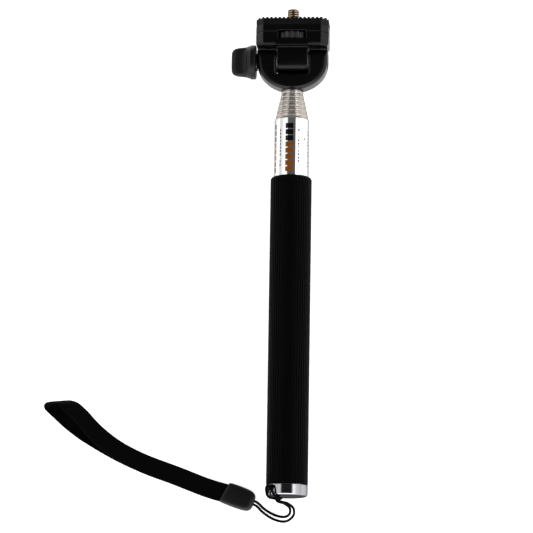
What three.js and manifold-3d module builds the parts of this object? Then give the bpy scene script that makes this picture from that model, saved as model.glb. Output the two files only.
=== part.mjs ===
// A telescopic camera pole with seven nested tubes, a tilting camera platform and a wrist strap.
// It lies on its back: Y runs from the butt of the handle to the camera, X to the right, Z up.
// Units are millimetres. The origin is the centre of the handle's butt face.

import * as THREE from "three";
import { mergeVertices } from "three/addons/utils/BufferGeometryUtils.js";
import Module from "manifold-3d";

const wasm = await Module();
wasm.setup();

// ---- Driving dimensions ----

// Handle
const GRIP_R = 11.1; // also half the depth of the platform, so that the pole lies flat
const GRIP_LENGTH = 166.2;
const GRIP_THICKNESS = 1.6;
const GRIP_SHOULDER = 1.5;
const RIB_COUNT = 48;
const RIB_DEPTH = 0.3;
const CAP_LENGTH = 5.8;
const CAP_CHAMFER = 1.0;
const PLUG_LENGTH = 6.2;
const SPIGOT_R = 5.0;
const HOLE_INSET = 4.3; // from the butt's edge to the middle of the lanyard hole's mouth
const HOLE_BELOW_GRIP = 1.8;
const OUTER_SHOWS = 31.2; // straight part of the outer tube above the grip
const OUTER_WALL = 0.5;
const OUTER_SWAGE = 3.1;

// Nested sections
const SECTION_COUNT = 5; // tubes 2 to 6
const WALL = 0.3;
const MOUTH_STEP = 2.6; // how far each mouth stands above the one around it
const MOUTH_GAP = 0.1; // radial clearance of a tube in the mouth around it
const MOUTH_LENGTH = 1.8;
const MOUTH_TAPER = 0.7; // length over which the bore narrows to the mouth
const FOOT_GAP = 1.0; // between the plug and the foot of tube 2
const COLLAR_LENGTH = 45.0;
const COLLAR_GAP = 0.075; // radial clearance of a collar in the tube around it
const FIRST_COLLAR = 0.55; // thickness of the collar on tube 2
const COLLAR = 0.2; // thickness of every other collar
const ROD_WALL = 0.5;
const ROD_COLLAR_GAP = 0.1; // radial clearance of the rod in its own collar
const ROD_BEAD = 0.2;
const ROD_BEAD_GAP = 0.2;
const STOP_RIM = 1.0;
const STOP_LENGTH = 6.0;

// Fork
const FORK_GAP = 0.5; // between tube 6 and the fork
const FORK_INSET = 0.5; // how far each side of the fork stands in from the platform's
const FORK_ROUNDING = 2.6;
const ARM_R = 6.9; // half the fork's depth and the radius of its arms about the tilt axis
const NECK_WALL = 0.8;
const NECK_LENGTH = 3.2;
const FORK_ROUND = 15.6; // height of the fork's elliptical bottom
const TILT_RISE = 0.8; // from the top of that ellipse up to the tilt axis
const SLOT_DEPTH = 1.2; // clearance of the tongue over the slot's floor
const SLOT_CORNER = 1.5;
const SLOT_CHAMFER = 0.9;
const BORE_FLOOR = 1.8; // material between the rod's bore and the slot
const INSERT_LENGTH = 10.0;
const HEAD_SCREW_R = 1.5;
const HEAD_SCREW_HEAD_R = 2.8;
const HEAD_SCREW_HEAD = 1.6;
const HEAD_SCREW_LENGTH = 9.0;
const HEAD_SCREW_SINK = 1.2;
const SCREW_GAP = 0.1; // radial clearance of a small screw in its hole

// Tilt clamp
const BOLT_R = 2.0;
const BOLT_HOLE_GAP = 0.15;
const DISC_THICKNESS = 0.4;
const DISC_GAP = 0.05; // on each face of a friction disc
const DISC_R = 5.5;
const NUT_HALF_FLATS = 3.5;
const NUT_THICKNESS = 3.2;
const NUT_POCKET = 4.4;
const NUT_GAP = 0.05;
const NUT_BORE_GAP = 0.1;
const BOLT_SHORT = 0.4; // how far the bolt's tip stays inside the nut
const WASHER_R = 4.7;
const KNOB_SIDE_GAP = 0.2; // from the platform's swept side to the washer's outer face
const KNOB_GAP = 0.05;
const KNOB_FLANGE_R = 9.3;
const KNOB_FLANGE = 4.4;
const KNOB_GROOVE = 0.5;
const KNOB_LENGTH = 13.4;
const WING_HALF_WIDE = 8.0;
const WING_HALF_TIP = 7.4;
const WING_HALF_THICK = 3.0;
const WING_CORNER = 3.0;
const WING_ROUNDING = 0.8;
const BOLT_IN_KNOB = 8.0;

// Platform
const TONGUE_HALF = 8.2;
const PLATFORM_HALF = 19.7;
const PLATFORM_CORNER = 4.0;
const PLATFORM_GAP = 0.2; // over the tops of the fork's arms
const BODY_HEIGHT = 7.4;
const COVER_HEIGHT = 3.7;
const PAD_HEIGHT = 4.4;
const PAD_TEETH = 15;
const PAD_TOOTH = 0.5;
const PAD_HOLE_R = 4.2;
const WINDOW_HALF = 7.5;
const WINDOW_RISE = 3.7; // from the platform's bottom to the window
const WINDOW_HEIGHT = 4.4;
const WHEEL_INSET = 0.2; // how far the wheel's rim stands in from the platform's face
const WHEEL_RIDGES = 21;
const WHEEL_RIDGE_DEPTH = 0.8;
const WHEEL_ROUNDING = 0.3;
const WHEEL_GAP = 0.25; // above and below the wheel
const WHEEL_RIM_GAP = 0.35;
const SCREW_R = 3.175; // a quarter-inch camera screw
const SCREW_PITCH = 1.27;
const SCREW_HEIGHT = 6.5; // above the pad
const SCREW_TIP_CHAMFER = 0.8;
const SHAFT_GAP = 0.4;
const THREAD_SINK = 0.5; // how far below the pad's face the thread starts
const COVER_SCREW_R = 1.0;
const COVER_SCREW_HEAD_R = 2.0;
const COVER_SCREW_HEAD = 1.2;
const COVER_SCREW_SINK = 2.4; // from the platform's bottom to the screw heads' seat
const COVER_SCREW_HEAD_GAP = 0.3;
const COVER_SCREW_BEYOND = 2.25; // from the wheel's cavity to the screws' centres
const COVER_SCREW_Z = 4.6;
const COVER_SCREW_SHORT = 0.6; // from the screws' tips to the pad

// Wrist strap
const CORD_R = 0.7;
const CORD_BORE_GAP = 0.4;
const STRAND_GAP = 0.3; // between the two strands in the hole
const STRAP_CAP_LENGTH = 17.0;
const STRAP_CAP_WIDTH = 11.6;
const STRAP_CAP_HEIGHT = 6.5;
const STRAP_CAP_CORNER = 3.2;
const STRAP_CAP_ROUNDING = 1.0;
const STRAP_CAP_X = -26.0;
const STRAP_CAP_Y = 0.2;
const STRAP_CAP_TURN = THREE.MathUtils.degToRad(-20);
const CORD_POCKET = 4.0;
const CORD_POCKET_GAP = 0.35;
const WEBBING_WIDTH = 10.0;
const WEBBING_THICKNESS = 1.3;
const WEBBING_POCKET = 6.0;
const WEBBING_GAP = 0.35;
const LAYER_GAP = 0.2; // between the webbing's two layers in the pocket
const POCKET_END_GAP = 0.5; // from a strand's or layer's end to its pocket's floor

// ---- Places that follow from them ----

// Handle
const PLUG_END = CAP_LENGTH + PLUG_LENGTH;
const GRIP_END = CAP_LENGTH + GRIP_LENGTH;
const OUTER_R = GRIP_R - GRIP_THICKNESS;
const OUTER_BORE_R = OUTER_R - OUTER_WALL;
const OUTER_TOP = GRIP_END + OUTER_SHOWS + OUTER_SWAGE;

// Nested sections
const TUBE_2_R = OUTER_BORE_R - COLLAR_GAP - FIRST_COLLAR;
const TUBE_STEP = WALL + COLLAR_GAP + COLLAR; // each tube's radius less the next one's
const LAST_TUBE_R = TUBE_2_R - (SECTION_COUNT - 1) * TUBE_STEP;
const LAST_TUBE_TOP = OUTER_TOP + SECTION_COUNT * MOUTH_STEP;
const SECTION_LENGTH = OUTER_TOP + MOUTH_STEP - PLUG_END - FOOT_GAP;
const ROD_R = LAST_TUBE_R - TUBE_STEP - ROD_COLLAR_GAP;

// Fork
const FORK_BOTTOM = LAST_TUBE_TOP + FORK_GAP;
const FORK_R = PLATFORM_HALF - FORK_INSET;
const FORK_CENTRE = FORK_BOTTOM + FORK_ROUND;
const TILT_Y = FORK_CENTRE + TILT_RISE;
const SLOT_HALF = TONGUE_HALF + DISC_THICKNESS + 2 * DISC_GAP;
const SLOT_FLOOR = TILT_Y - ARM_R - SLOT_DEPTH;
const ARM_TOP = TILT_Y + ARM_R;
const ROD_TOP = SLOT_FLOOR - BORE_FLOOR;
const HEAD_SCREW_SEAT = SLOT_FLOOR - HEAD_SCREW_SINK;

// Platform
const PLATFORM_BOTTOM = ARM_TOP + PLATFORM_GAP;
const SEAM = PLATFORM_BOTTOM + BODY_HEIGHT;
const PAD_BOTTOM = SEAM + COVER_HEIGHT;
const PAD_TOP = PAD_BOTTOM + PAD_HEIGHT;
const WINDOW_BOTTOM = PLATFORM_BOTTOM + WINDOW_RISE;
const WINDOW_TOP = WINDOW_BOTTOM + WINDOW_HEIGHT;
const WHEEL_R = GRIP_R - WHEEL_INSET;
const CAVITY_R = WHEEL_R + WHEEL_RIM_GAP;
const SCREW_TIP = PAD_TOP + SCREW_HEIGHT;
const COVER_SCREW_X = CAVITY_R + COVER_SCREW_BEYOND;
const COVER_SCREW_SEAT = PLATFORM_BOTTOM + COVER_SCREW_SINK;
const COVER_SCREW_TIP = PAD_BOTTOM - COVER_SCREW_SHORT;

// Tilt clamp
const NUT_POCKET_X = FORK_R - NUT_POCKET;
const WASHER_THICKNESS = FORK_INSET + KNOB_SIDE_GAP;
const KNOB_INNER = -FORK_R - WASHER_THICKNESS - KNOB_GAP;
const KNOB_OUTER = KNOB_INNER - KNOB_LENGTH;
const BOLT_TIP = NUT_POCKET_X + NUT_THICKNESS - BOLT_SHORT;

// Wrist strap
const STRAND_HALF = CORD_R + STRAND_GAP / 2; // half the distance between the strands' middles
const FLOOR = -GRIP_R;
const STRAP_CAP_Z = FLOOR + STRAP_CAP_HEIGHT / 2;
const CAP_END = STRAP_CAP_LENGTH / 2;
const LAYER_UP = (WEBBING_THICKNESS + LAYER_GAP) / 2;

// ---- Tessellation ----
const SIDES = 32; // of every tube, so that nested ones keep their clearance
const SMALL_SIDES = 20;
const SCREW_SIDES = 12;
const CAVITY_SIDES = 42;
const BEYOND = 1.0; // how far a cutting solid runs past a face

// ---- Materials ----
function material(color, roughness, metalness) {
  return new THREE.MeshStandardMaterial({ color, roughness, metalness });
}

const STEEL = material(0xc9c9c6, 0.18, 1.0);
const ALUMINIUM = material(0xb9b9bb, 0.3, 1.0);
const BRASS = material(0xb79b68, 0.35, 1.0);
const BLACK_STEEL = material(0x2b2b2d, 0.4, 0.9);
const BLACK_PLASTIC = material(0x151516, 0.45, 0.0);
const KNOB_PLASTIC = material(0x2a292b, 0.5, 0.0);
const RUBBER = material(0x0b0b0a, 0.85, 0.0);
const NYLON = material(0xe3e1da, 0.5, 0.0);
const WEBBING = material(0x121213, 0.95, 0.0);

// ---- Solids ----

// A solid, for cutting and joining, from a geometry.
function solid(geometry) {
  geometry.deleteAttribute("normal");
  geometry.deleteAttribute("uv");
  const merged = mergeVertices(geometry, 1e-4);
  const mesh = new wasm.Mesh({
    numProp: 3,
    vertProperties: new Float32Array(merged.attributes.position.array),
    triVerts: new Uint32Array(merged.index.array),
  });
  return new wasm.Manifold(mesh);
}

// A geometry, for a mesh, from a solid.
function geometryOf(made) {
  const mesh = made.getMesh();
  const geometry = new THREE.BufferGeometry();
  geometry.setAttribute("position", new THREE.BufferAttribute(mesh.vertProperties, 3));
  geometry.setIndex(new THREE.BufferAttribute(mesh.triVerts, 1));
  geometry.computeVertexNormals();
  return geometry;
}

function merge(...pieces) {
  return pieces.reduce((sum, piece) => sum.add(piece));
}

function cut(body, ...tools) {
  return tools.reduce((left, tool) => left.subtract(tool), body);
}

function outline(points) {
  return new THREE.Shape(points.map(([x, y]) => new THREE.Vector2(x, y)));
}

// Turns a profile of [radius, y] points about the Y axis; it rises on its outer side.
function turned(profile, sides = SIDES) {
  const points = profile.map(([r, y]) => new THREE.Vector2(r, y));
  return solid(new THREE.LatheGeometry(points, sides));
}

// A plain round bar about the Y axis.
function bar(radius, from, to, sides = SIDES) {
  return turned([[0, from], [radius, from], [radius, to], [0, to]], sides);
}

// A hollow turned piece: the outer side going up, then the inner side going down.
function tube(outer, inner, sides = SIDES) {
  const profile = [...outer, ...inner];
  return turned([...profile, profile[0]], sides);
}

// A front outline of [x, y] points carried along Z.
function frontPrism(points, from, to, bevel = 0) {
  const geometry = new THREE.ExtrudeGeometry(outline(points), {
    depth: to - from - 2 * bevel,
    bevelEnabled: bevel > 0,
    bevelThickness: bevel,
    bevelSize: bevel,
    bevelOffset: -bevel,
    bevelSegments: 3,
    curveSegments: 1,
  });
  geometry.translate(0, 0, from + bevel);
  return solid(geometry);
}

// A side outline of [z, y] points carried along X.
function sidePrism(points, from, to) {
  const mirrored = points.map(([z, y]) => [-z, y]);
  const geometry = new THREE.ExtrudeGeometry(outline(mirrored), {
    depth: to - from,
    bevelEnabled: false,
  });
  geometry.rotateY(Math.PI / 2);
  geometry.translate(from, 0, 0);
  return solid(geometry);
}

// A plan outline of [x, z] points carried along Y.
function planPrism(points, from, to, bevel = 0) {
  const mirrored = points.map(([x, z]) => [x, -z]);
  const geometry = new THREE.ExtrudeGeometry(outline(mirrored), {
    depth: to - from - 2 * bevel,
    bevelEnabled: bevel > 0,
    bevelThickness: bevel,
    bevelSize: bevel,
    bevelOffset: -bevel,
    bevelSegments: 1,
    curveSegments: 1,
  });
  geometry.rotateX(-Math.PI / 2);
  geometry.translate(0, from + bevel, 0);
  return solid(geometry);
}

function box(x0, x1, y0, y1, z0, z1) {
  const geometry = new THREE.BoxGeometry(x1 - x0, y1 - y0, z1 - z0);
  geometry.translate((x0 + x1) / 2, (y0 + y1) / 2, (z0 + z1) / 2);
  return solid(geometry);
}

// A turned piece whose axis is laid along X at the tilt axis; its y becomes x.
function onTiltAxis(piece) {
  return piece.rotate([0, 0, -90]).translate([0, TILT_Y, 0]);
}

// Points on an arc, angles in degrees.
function arc(cx, cy, radius, from, to, steps) {
  const points = [];
  for (let i = 0; i <= steps; i++) {
    const a = THREE.MathUtils.degToRad(from + ((to - from) * i) / steps);
    points.push([cx + radius * Math.cos(a), cy + radius * Math.sin(a)]);
  }
  return points;
}

// ---- The scene graph: one group per moving body ----
const pole = new THREE.Group();
pole.name = "camera_pole";

function body(name, parent) {
  const group = new THREE.Group();
  group.name = name;
  parent.add(group);
  return group;
}

function piece(name, parent, made, look) {
  const mesh = new THREE.Mesh(geometryOf(made), look);
  mesh.name = name;
  parent.add(mesh);
  return mesh;
}

const handle = body("handle", pole);

// ---- Handle ----
// The lanyard hole runs through the cap's corner, from the butt face to its side.
const HOLE_FROM = { r: GRIP_R - HOLE_INSET, y: 0 };
const HOLE_TO = { r: GRIP_R - 0.05, y: CAP_LENGTH - HOLE_BELOW_GRIP };
const HOLE_AROUND = new THREE.Vector3(-0.6937, 0, 0.7207); // the way out from the pole's axis
const HOLE_ALONG = new THREE.Vector3(0.7207, 0, 0.6937); // around the rim

// A point from its distance out, its height and its distance around the rim.
function atHole(r, y, t) {
  return new THREE.Vector3()
    .addScaledVector(HOLE_AROUND, r)
    .addScaledVector(HOLE_ALONG, t)
    .setY(y);
}

function lanyardHole() {
  const radius = CORD_R + CORD_BORE_GAP;
  const from = atHole(HOLE_FROM.r, HOLE_FROM.y, 0);
  const to = atHole(HOLE_TO.r, HOLE_TO.y, 0);
  const way = to.clone().sub(from).normalize();
  const reach = 6.0;
  const middle = from.clone().lerp(to, 0.5);
  const frame = new THREE.Matrix4().makeBasis(
    HOLE_ALONG,
    new THREE.Vector3().crossVectors(way, HOLE_ALONG),
    way,
  );
  const slot = [
    ...arc(STRAND_HALF, 0, radius, -90, 90, 6),
    ...arc(-STRAND_HALF, 0, radius, 90, 270, 6),
  ];
  const geometry = new THREE.ExtrudeGeometry(outline(slot), {
    depth: 2 * reach,
    bevelEnabled: false,
  });
  geometry.translate(0, 0, -reach);
  geometry.applyMatrix4(frame.setPosition(middle));
  return solid(geometry);
}

const endCapBlank = turned([
  [0, 0],
  [GRIP_R - CAP_CHAMFER, 0],
  [GRIP_R, CAP_CHAMFER],
  [GRIP_R, CAP_LENGTH],
  [SPIGOT_R, CAP_LENGTH],
  [SPIGOT_R, PLUG_END],
  [0, PLUG_END],
]);
piece("end_cap", handle, cut(endCapBlank, lanyardHole()), ALUMINIUM);

piece(
  "tube_plug",
  handle,
  tube(
    [[OUTER_BORE_R, CAP_LENGTH], [OUTER_BORE_R, PLUG_END]],
    [[SPIGOT_R, PLUG_END], [SPIGOT_R, CAP_LENGTH]],
  ),
  NYLON,
);

// Inner radius of the mouth that closes in on a tube of the given radius.
function mouthBore(innerR) {
  return innerR + MOUTH_GAP;
}

function sleeve(radius, wall, bottom, top, innerR, mouth) {
  const bore = mouthBore(innerR);
  return tube(
    [
      [radius, bottom],
      [radius, top - mouth],
      [bore + WALL, top],
    ],
    [
      [bore, top],
      [bore, top - mouth],
      [radius - wall, top - mouth - MOUTH_TAPER],
      [radius - wall, bottom],
    ],
  );
}

piece(
  "outer_tube",
  handle,
  sleeve(OUTER_R, OUTER_WALL, CAP_LENGTH, OUTER_TOP, TUBE_2_R, OUTER_SWAGE),
  STEEL,
);

function gripSleeve() {
  const ribs = [];
  for (let i = 0; i < RIB_COUNT; i++) {
    for (const [share, depth] of [[0, 0], [0.6, 0], [0.8, RIB_DEPTH]]) {
      const a = ((i + share) / RIB_COUNT) * 2 * Math.PI;
      const r = GRIP_R - depth;
      ribs.push([r * Math.cos(a), r * Math.sin(a)]);
    }
  }
  const blank = planPrism(ribs, CAP_LENGTH, GRIP_END);
  const start = GRIP_END - GRIP_SHOULDER;
  const shoulder = arc(GRIP_R - GRIP_SHOULDER, start, GRIP_SHOULDER, 0, 90, 2);
  const envelope = turned(
    [[0, CAP_LENGTH - BEYOND], [GRIP_R, CAP_LENGTH - BEYOND], ...shoulder, [0, GRIP_END]],
    RIB_COUNT,
  );
  return cut(blank.intersect(envelope), bar(OUTER_R, 0, GRIP_END + BEYOND));
}

piece("grip_sleeve", handle, gripSleeve(), RUBBER);

// ---- Nested sections ----
function tubeRadius(number) {
  return TUBE_2_R - (number - 2) * TUBE_STEP;
}

let parent = handle;
let aroundBore = OUTER_BORE_R;
let top = OUTER_TOP;
for (let number = 2; number < 2 + SECTION_COUNT; number++) {
  const section = body(`section_${number}`, parent);
  const radius = tubeRadius(number);
  const last = number === 1 + SECTION_COUNT;
  top += MOUTH_STEP;
  const bottom = top - SECTION_LENGTH;
  piece(
    `tube_${number}`,
    section,
    sleeve(radius, WALL, bottom, top, last ? ROD_R : tubeRadius(number + 1), MOUTH_LENGTH),
    STEEL,
  );
  piece(
    `collar_${number}`,
    section,
    tube(
      [[aroundBore - COLLAR_GAP, bottom], [aroundBore - COLLAR_GAP, bottom + COLLAR_LENGTH]],
      [[radius, bottom + COLLAR_LENGTH], [radius, bottom]],
    ),
    NYLON,
  );
  parent = section;
  aroundBore = radius - WALL;
}

// The last collar slides, and the rod turns inside it.
const rodSlider = body("rod_slider", parent);
const rodBottom = top + MOUTH_STEP - SECTION_LENGTH;
const rodCollarTop = rodBottom + COLLAR_LENGTH;
const rodCollarBore = ROD_R + ROD_COLLAR_GAP;
piece(
  "collar_7",
  rodSlider,
  tube(
    [[aroundBore - COLLAR_GAP, rodBottom], [aroundBore - COLLAR_GAP, rodCollarTop]],
    [[rodCollarBore, rodCollarTop], [rodCollarBore, rodBottom]],
  ),
  NYLON,
);

const head = body("head", rodSlider);
const rodBore = ROD_R - ROD_WALL;
const beadY = rodCollarTop + ROD_BEAD_GAP;
const rodFoot = rodBottom - ROD_BEAD_GAP;
piece(
  "top_rod",
  head,
  tube(
    [
      [ROD_R, rodFoot],
      [ROD_R, beadY],
      [ROD_R + ROD_BEAD, beadY + ROD_BEAD],
      [ROD_R + ROD_BEAD, beadY + 4 * ROD_BEAD],
      [ROD_R, beadY + 5 * ROD_BEAD],
      [ROD_R, ROD_TOP],
    ],
    [[rodBore, ROD_TOP], [rodBore, rodFoot]],
  ),
  STEEL,
);

// A stop screwed into the rod's foot, whose rim keeps the collar on.
piece(
  "rod_stop",
  head,
  turned([
    [0, rodFoot - STOP_RIM],
    [ROD_R + ROD_BEAD, rodFoot - STOP_RIM],
    [ROD_R + ROD_BEAD, rodFoot],
    [rodBore, rodFoot],
    [rodBore, rodFoot + STOP_LENGTH],
    [0, rodFoot + STOP_LENGTH],
  ]),
  BRASS,
);

// ---- Fork ----
piece(
  "rod_insert",
  head,
  tube(
    [[rodBore, ROD_TOP - INSERT_LENGTH], [rodBore, ROD_TOP]],
    [[HEAD_SCREW_R, ROD_TOP], [HEAD_SCREW_R, ROD_TOP - INSERT_LENGTH]],
  ),
  BRASS,
);

const headScrewTop = HEAD_SCREW_SEAT + HEAD_SCREW_HEAD;
piece(
  "head_screw",
  head,
  turned([
    [0, HEAD_SCREW_SEAT - HEAD_SCREW_LENGTH],
    [HEAD_SCREW_R, HEAD_SCREW_SEAT - HEAD_SCREW_LENGTH],
    [HEAD_SCREW_R, HEAD_SCREW_SEAT],
    [HEAD_SCREW_HEAD_R, HEAD_SCREW_SEAT],
    [HEAD_SCREW_HEAD_R, headScrewTop - 0.5],
    [HEAD_SCREW_HEAD_R - 0.6, headScrewTop],
    [0, headScrewTop],
  ]),
  BLACK_STEEL,
);

const nutOutline = [];
for (let i = 0; i < 6; i++) {
  const a = THREE.MathUtils.degToRad(60 * i + 30);
  const corner = NUT_HALF_FLATS / Math.cos(Math.PI / 6);
  nutOutline.push([corner * Math.cos(a), corner * Math.sin(a)]);
}

// The nut's hexagon about the tilt axis, grown by a gap.
function hexagon(gap, from, to) {
  const grown = 1 + gap / NUT_HALF_FLATS;
  const points = nutOutline.map(([z, y]) => [z * grown, TILT_Y + y * grown]);
  return sidePrism(points, from, to);
}

function slotOutline(slotTop) {
  const x = SLOT_HALF - SLOT_CORNER;
  const y = SLOT_FLOOR + SLOT_CORNER;
  return [
    [-SLOT_HALF, slotTop],
    ...arc(-x, y, SLOT_CORNER, 180, 270, 3),
    ...arc(x, y, SLOT_CORNER, 270, 360, 3),
    [SLOT_HALF, slotTop],
  ];
}

// Widens the slot towards the front face, and by its mirror towards the back face.
function slotChamfer(side) {
  const geometry = new THREE.ExtrudeGeometry(outline(slotOutline(ARM_TOP + 5 * BEYOND)), {
    depth: 2 * BEYOND,
    bevelEnabled: true,
    bevelThickness: SLOT_CHAMFER,
    bevelSize: SLOT_CHAMFER,
    bevelOffset: 0,
    bevelSegments: 1,
    curveSegments: 1,
  });
  geometry.translate(0, 0, ARM_R);
  const made = solid(geometry);
  return side > 0 ? made : made.mirror([0, 0, 1]);
}

function fork() {
  const flatter = FORK_ROUND / FORK_R;
  const round = arc(0, 0, FORK_R, 180, 360, 24).map(([x, y]) => [x, FORK_CENTRE + y * flatter]);
  const front = [
    ...round,
    [FORK_R, ARM_TOP],
    [-FORK_R, ARM_TOP],
  ];
  const side = [
    ...arc(0, TILT_Y, ARM_R, 0, 180, 20),
    [-ARM_R, FORK_BOTTOM],
    [ARM_R, FORK_BOTTOM],
  ];
  const blank = frontPrism(front, -ARM_R, ARM_R, FORK_ROUNDING);
  const reach = FORK_R + BEYOND;
  const arms = blank.intersect(sidePrism(side, -reach, reach));
  const neck = bar(ROD_R + NECK_WALL, FORK_BOTTOM, FORK_BOTTOM + NECK_LENGTH);
  const boltHole = BOLT_R + BOLT_HOLE_GAP;
  return cut(
    merge(arms, neck),
    frontPrism(slotOutline(ARM_TOP + 5 * BEYOND), -ARM_R - BEYOND, ARM_R + BEYOND),
    slotChamfer(1),
    slotChamfer(-1),
    bar(ROD_R, FORK_BOTTOM - BEYOND, ROD_TOP),
    bar(HEAD_SCREW_R + SCREW_GAP, ROD_TOP - BEYOND, SLOT_FLOOR + BEYOND, SMALL_SIDES),
    bar(HEAD_SCREW_HEAD_R + 2 * SCREW_GAP, HEAD_SCREW_SEAT, SLOT_FLOOR + BEYOND, SMALL_SIDES),
    onTiltAxis(bar(boltHole, -reach, reach, SMALL_SIDES)),
    hexagon(NUT_GAP, NUT_POCKET_X, reach),
  );
}

piece("fork", head, fork(), BLACK_PLASTIC);

// ---- Tilt clamp on the fork ----
function ring(radius, bore, from, to, sides = SMALL_SIDES) {
  return tube([[radius, from], [radius, to]], [[bore, to], [bore, from]], sides);
}

const discInner = TONGUE_HALF + DISC_GAP;
const discBore = BOLT_R + BOLT_HOLE_GAP;
for (const [name, side] of [["left", -1], ["right", 1]]) {
  const from = side < 0 ? -discInner - DISC_THICKNESS : discInner;
  const made = onTiltAxis(ring(DISC_R, discBore, from, from + DISC_THICKNESS));
  piece(`friction_disc_${name}`, head, made, NYLON);
}

const nut = cut(
  hexagon(0, NUT_POCKET_X, NUT_POCKET_X + NUT_THICKNESS),
  onTiltAxis(bar(BOLT_R + NUT_BORE_GAP, 0, FORK_R, SMALL_SIDES)),
);
piece("clamp_nut", head, nut, BLACK_STEEL);

// The washer moves out with the knob, and the knob turns against it.
const washerBody = body("knob_washer_body", head);
piece(
  "knob_washer",
  washerBody,
  onTiltAxis(ring(WASHER_R, discBore, -FORK_R - WASHER_THICKNESS, -FORK_R)),
  BLACK_STEEL,
);

const knobBody = body("knob_body", washerBody);

function knob() {
  const flangeOuter = KNOB_INNER - KNOB_FLANGE;
  const grooved = KNOB_FLANGE_R - KNOB_GROOVE;
  const flange = turned(
    [
      [0, flangeOuter - 1.5],
      [KNOB_FLANGE_R - 3.2, flangeOuter - 1.5],
      [KNOB_FLANGE_R - 1.6, flangeOuter],
      [grooved, flangeOuter],
      [grooved, flangeOuter + 0.9],
      [KNOB_FLANGE_R, flangeOuter + 1.3],
      [KNOB_FLANGE_R, KNOB_INNER - 0.5],
      [KNOB_FLANGE_R - 0.5, KNOB_INNER],
      [0, KNOB_INNER],
    ],
    SIDES,
  );
  const cornerX = KNOB_OUTER + WING_CORNER;
  const cornerY = WING_HALF_TIP - WING_CORNER;
  const blade = [
    [flangeOuter + BEYOND, TILT_Y + WING_HALF_WIDE],
    ...arc(cornerX, TILT_Y + cornerY, WING_CORNER, 90, 180, 5),
    ...arc(cornerX, TILT_Y - cornerY, WING_CORNER, 180, 270, 5),
    [flangeOuter + BEYOND, TILT_Y - WING_HALF_WIDE],
  ];
  const wing = frontPrism(blade, -WING_HALF_THICK, WING_HALF_THICK, WING_ROUNDING);
  return cut(
    merge(onTiltAxis(flange), wing),
    onTiltAxis(bar(BOLT_R, KNOB_INNER - BOLT_IN_KNOB, KNOB_INNER + BEYOND, SMALL_SIDES)),
  );
}

piece("knob", knobBody, knob(), KNOB_PLASTIC);
piece(
  "clamp_bolt",
  knobBody,
  onTiltAxis(bar(BOLT_R, KNOB_INNER - BOLT_IN_KNOB, BOLT_TIP, SMALL_SIDES)),
  BLACK_STEEL,
);

// ---- Camera platform ----
const platform = body("platform", head);

function octagon(half, depth, corner) {
  return [
    [-half, -depth + corner],
    [-half + corner, -depth],
    [half - corner, -depth],
    [half, -depth + corner],
    [half, depth - corner],
    [half - corner, depth],
    [-half + corner, depth],
    [-half, depth - corner],
  ];
}

const plan = octagon(PLATFORM_HALF, GRIP_R, PLATFORM_CORNER);
const screwPlaces = [-1, 1].flatMap((sx) => [-1, 1].map((sz) => [sx, sz]));

function atCoverScrew(made, sx, sz) {
  return made.translate([sx * COVER_SCREW_X, 0, sz * COVER_SCREW_Z]);
}

function windowCut() {
  const reach = GRIP_R + BEYOND;
  return box(-WINDOW_HALF, WINDOW_HALF, WINDOW_BOTTOM, WINDOW_TOP, -reach, reach);
}

function platformBody() {
  const tongueTop = PLATFORM_BOTTOM + BEYOND;
  const tongue = [
    ...arc(0, TILT_Y, ARM_R, 180, 360, 14),
    [ARM_R, tongueTop],
    [-ARM_R, tongueTop],
  ];
  const hole = COVER_SCREW_R + SCREW_GAP;
  const recess = COVER_SCREW_HEAD_R + COVER_SCREW_HEAD_GAP;
  const blank = merge(
    planPrism(plan, PLATFORM_BOTTOM, SEAM),
    sidePrism(tongue, -TONGUE_HALF, TONGUE_HALF),
  );
  const holes = screwPlaces.flatMap(([sx, sz]) => [
    atCoverScrew(bar(hole, PLATFORM_BOTTOM, SEAM + BEYOND, SCREW_SIDES), sx, sz),
    atCoverScrew(bar(recess, PLATFORM_BOTTOM - BEYOND, COVER_SCREW_SEAT, SCREW_SIDES), sx, sz),
  ]);
  return cut(
    blank,
    bar(CAVITY_R, WINDOW_BOTTOM, SEAM + BEYOND, CAVITY_SIDES),
    windowCut(),
    onTiltAxis(bar(discBore, -TONGUE_HALF - BEYOND, TONGUE_HALF + BEYOND, SMALL_SIDES)),
    ...holes,
  );
}

piece("platform_body", platform, platformBody(), BLACK_PLASTIC);

function platformCover() {
  const holes = screwPlaces.map(([sx, sz]) =>
    atCoverScrew(bar(COVER_SCREW_R, SEAM - BEYOND, COVER_SCREW_TIP, SCREW_SIDES), sx, sz),
  );
  return cut(
    planPrism(plan, SEAM, PAD_BOTTOM),
    bar(CAVITY_R, SEAM - BEYOND, WINDOW_TOP, CAVITY_SIDES),
    windowCut(),
    bar(SCREW_R + SHAFT_GAP, WINDOW_TOP - BEYOND, PAD_BOTTOM + BEYOND, SMALL_SIDES),
    ...holes,
  );
}

piece("platform_cover", platform, platformCover(), BLACK_PLASTIC);

function rubberPad() {
  const blank = planPrism(plan, PAD_BOTTOM, PAD_TOP);
  const pitch = (2 * (PLATFORM_HALF - PLATFORM_CORNER)) / (PAD_TEETH - 1);
  const reach = GRIP_R + BEYOND;
  const grooves = [];
  for (let i = 0; i < PAD_TEETH; i++) {
    const x = -PLATFORM_HALF + PLATFORM_CORNER + i * pitch;
    const half = pitch * 0.2;
    const vee = [
      [x - half, PAD_TOP + 0.01],
      [x, PAD_TOP - PAD_TOOTH],
      [x + half, PAD_TOP + 0.01],
    ];
    grooves.push(frontPrism(vee, -reach, reach));
  }
  const hole = bar(PAD_HOLE_R, PAD_BOTTOM - BEYOND, PAD_TOP + BEYOND, SMALL_SIDES);
  return cut(blank, hole, ...grooves);
}

piece("rubber_pad", platform, rubberPad(), RUBBER);

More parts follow.
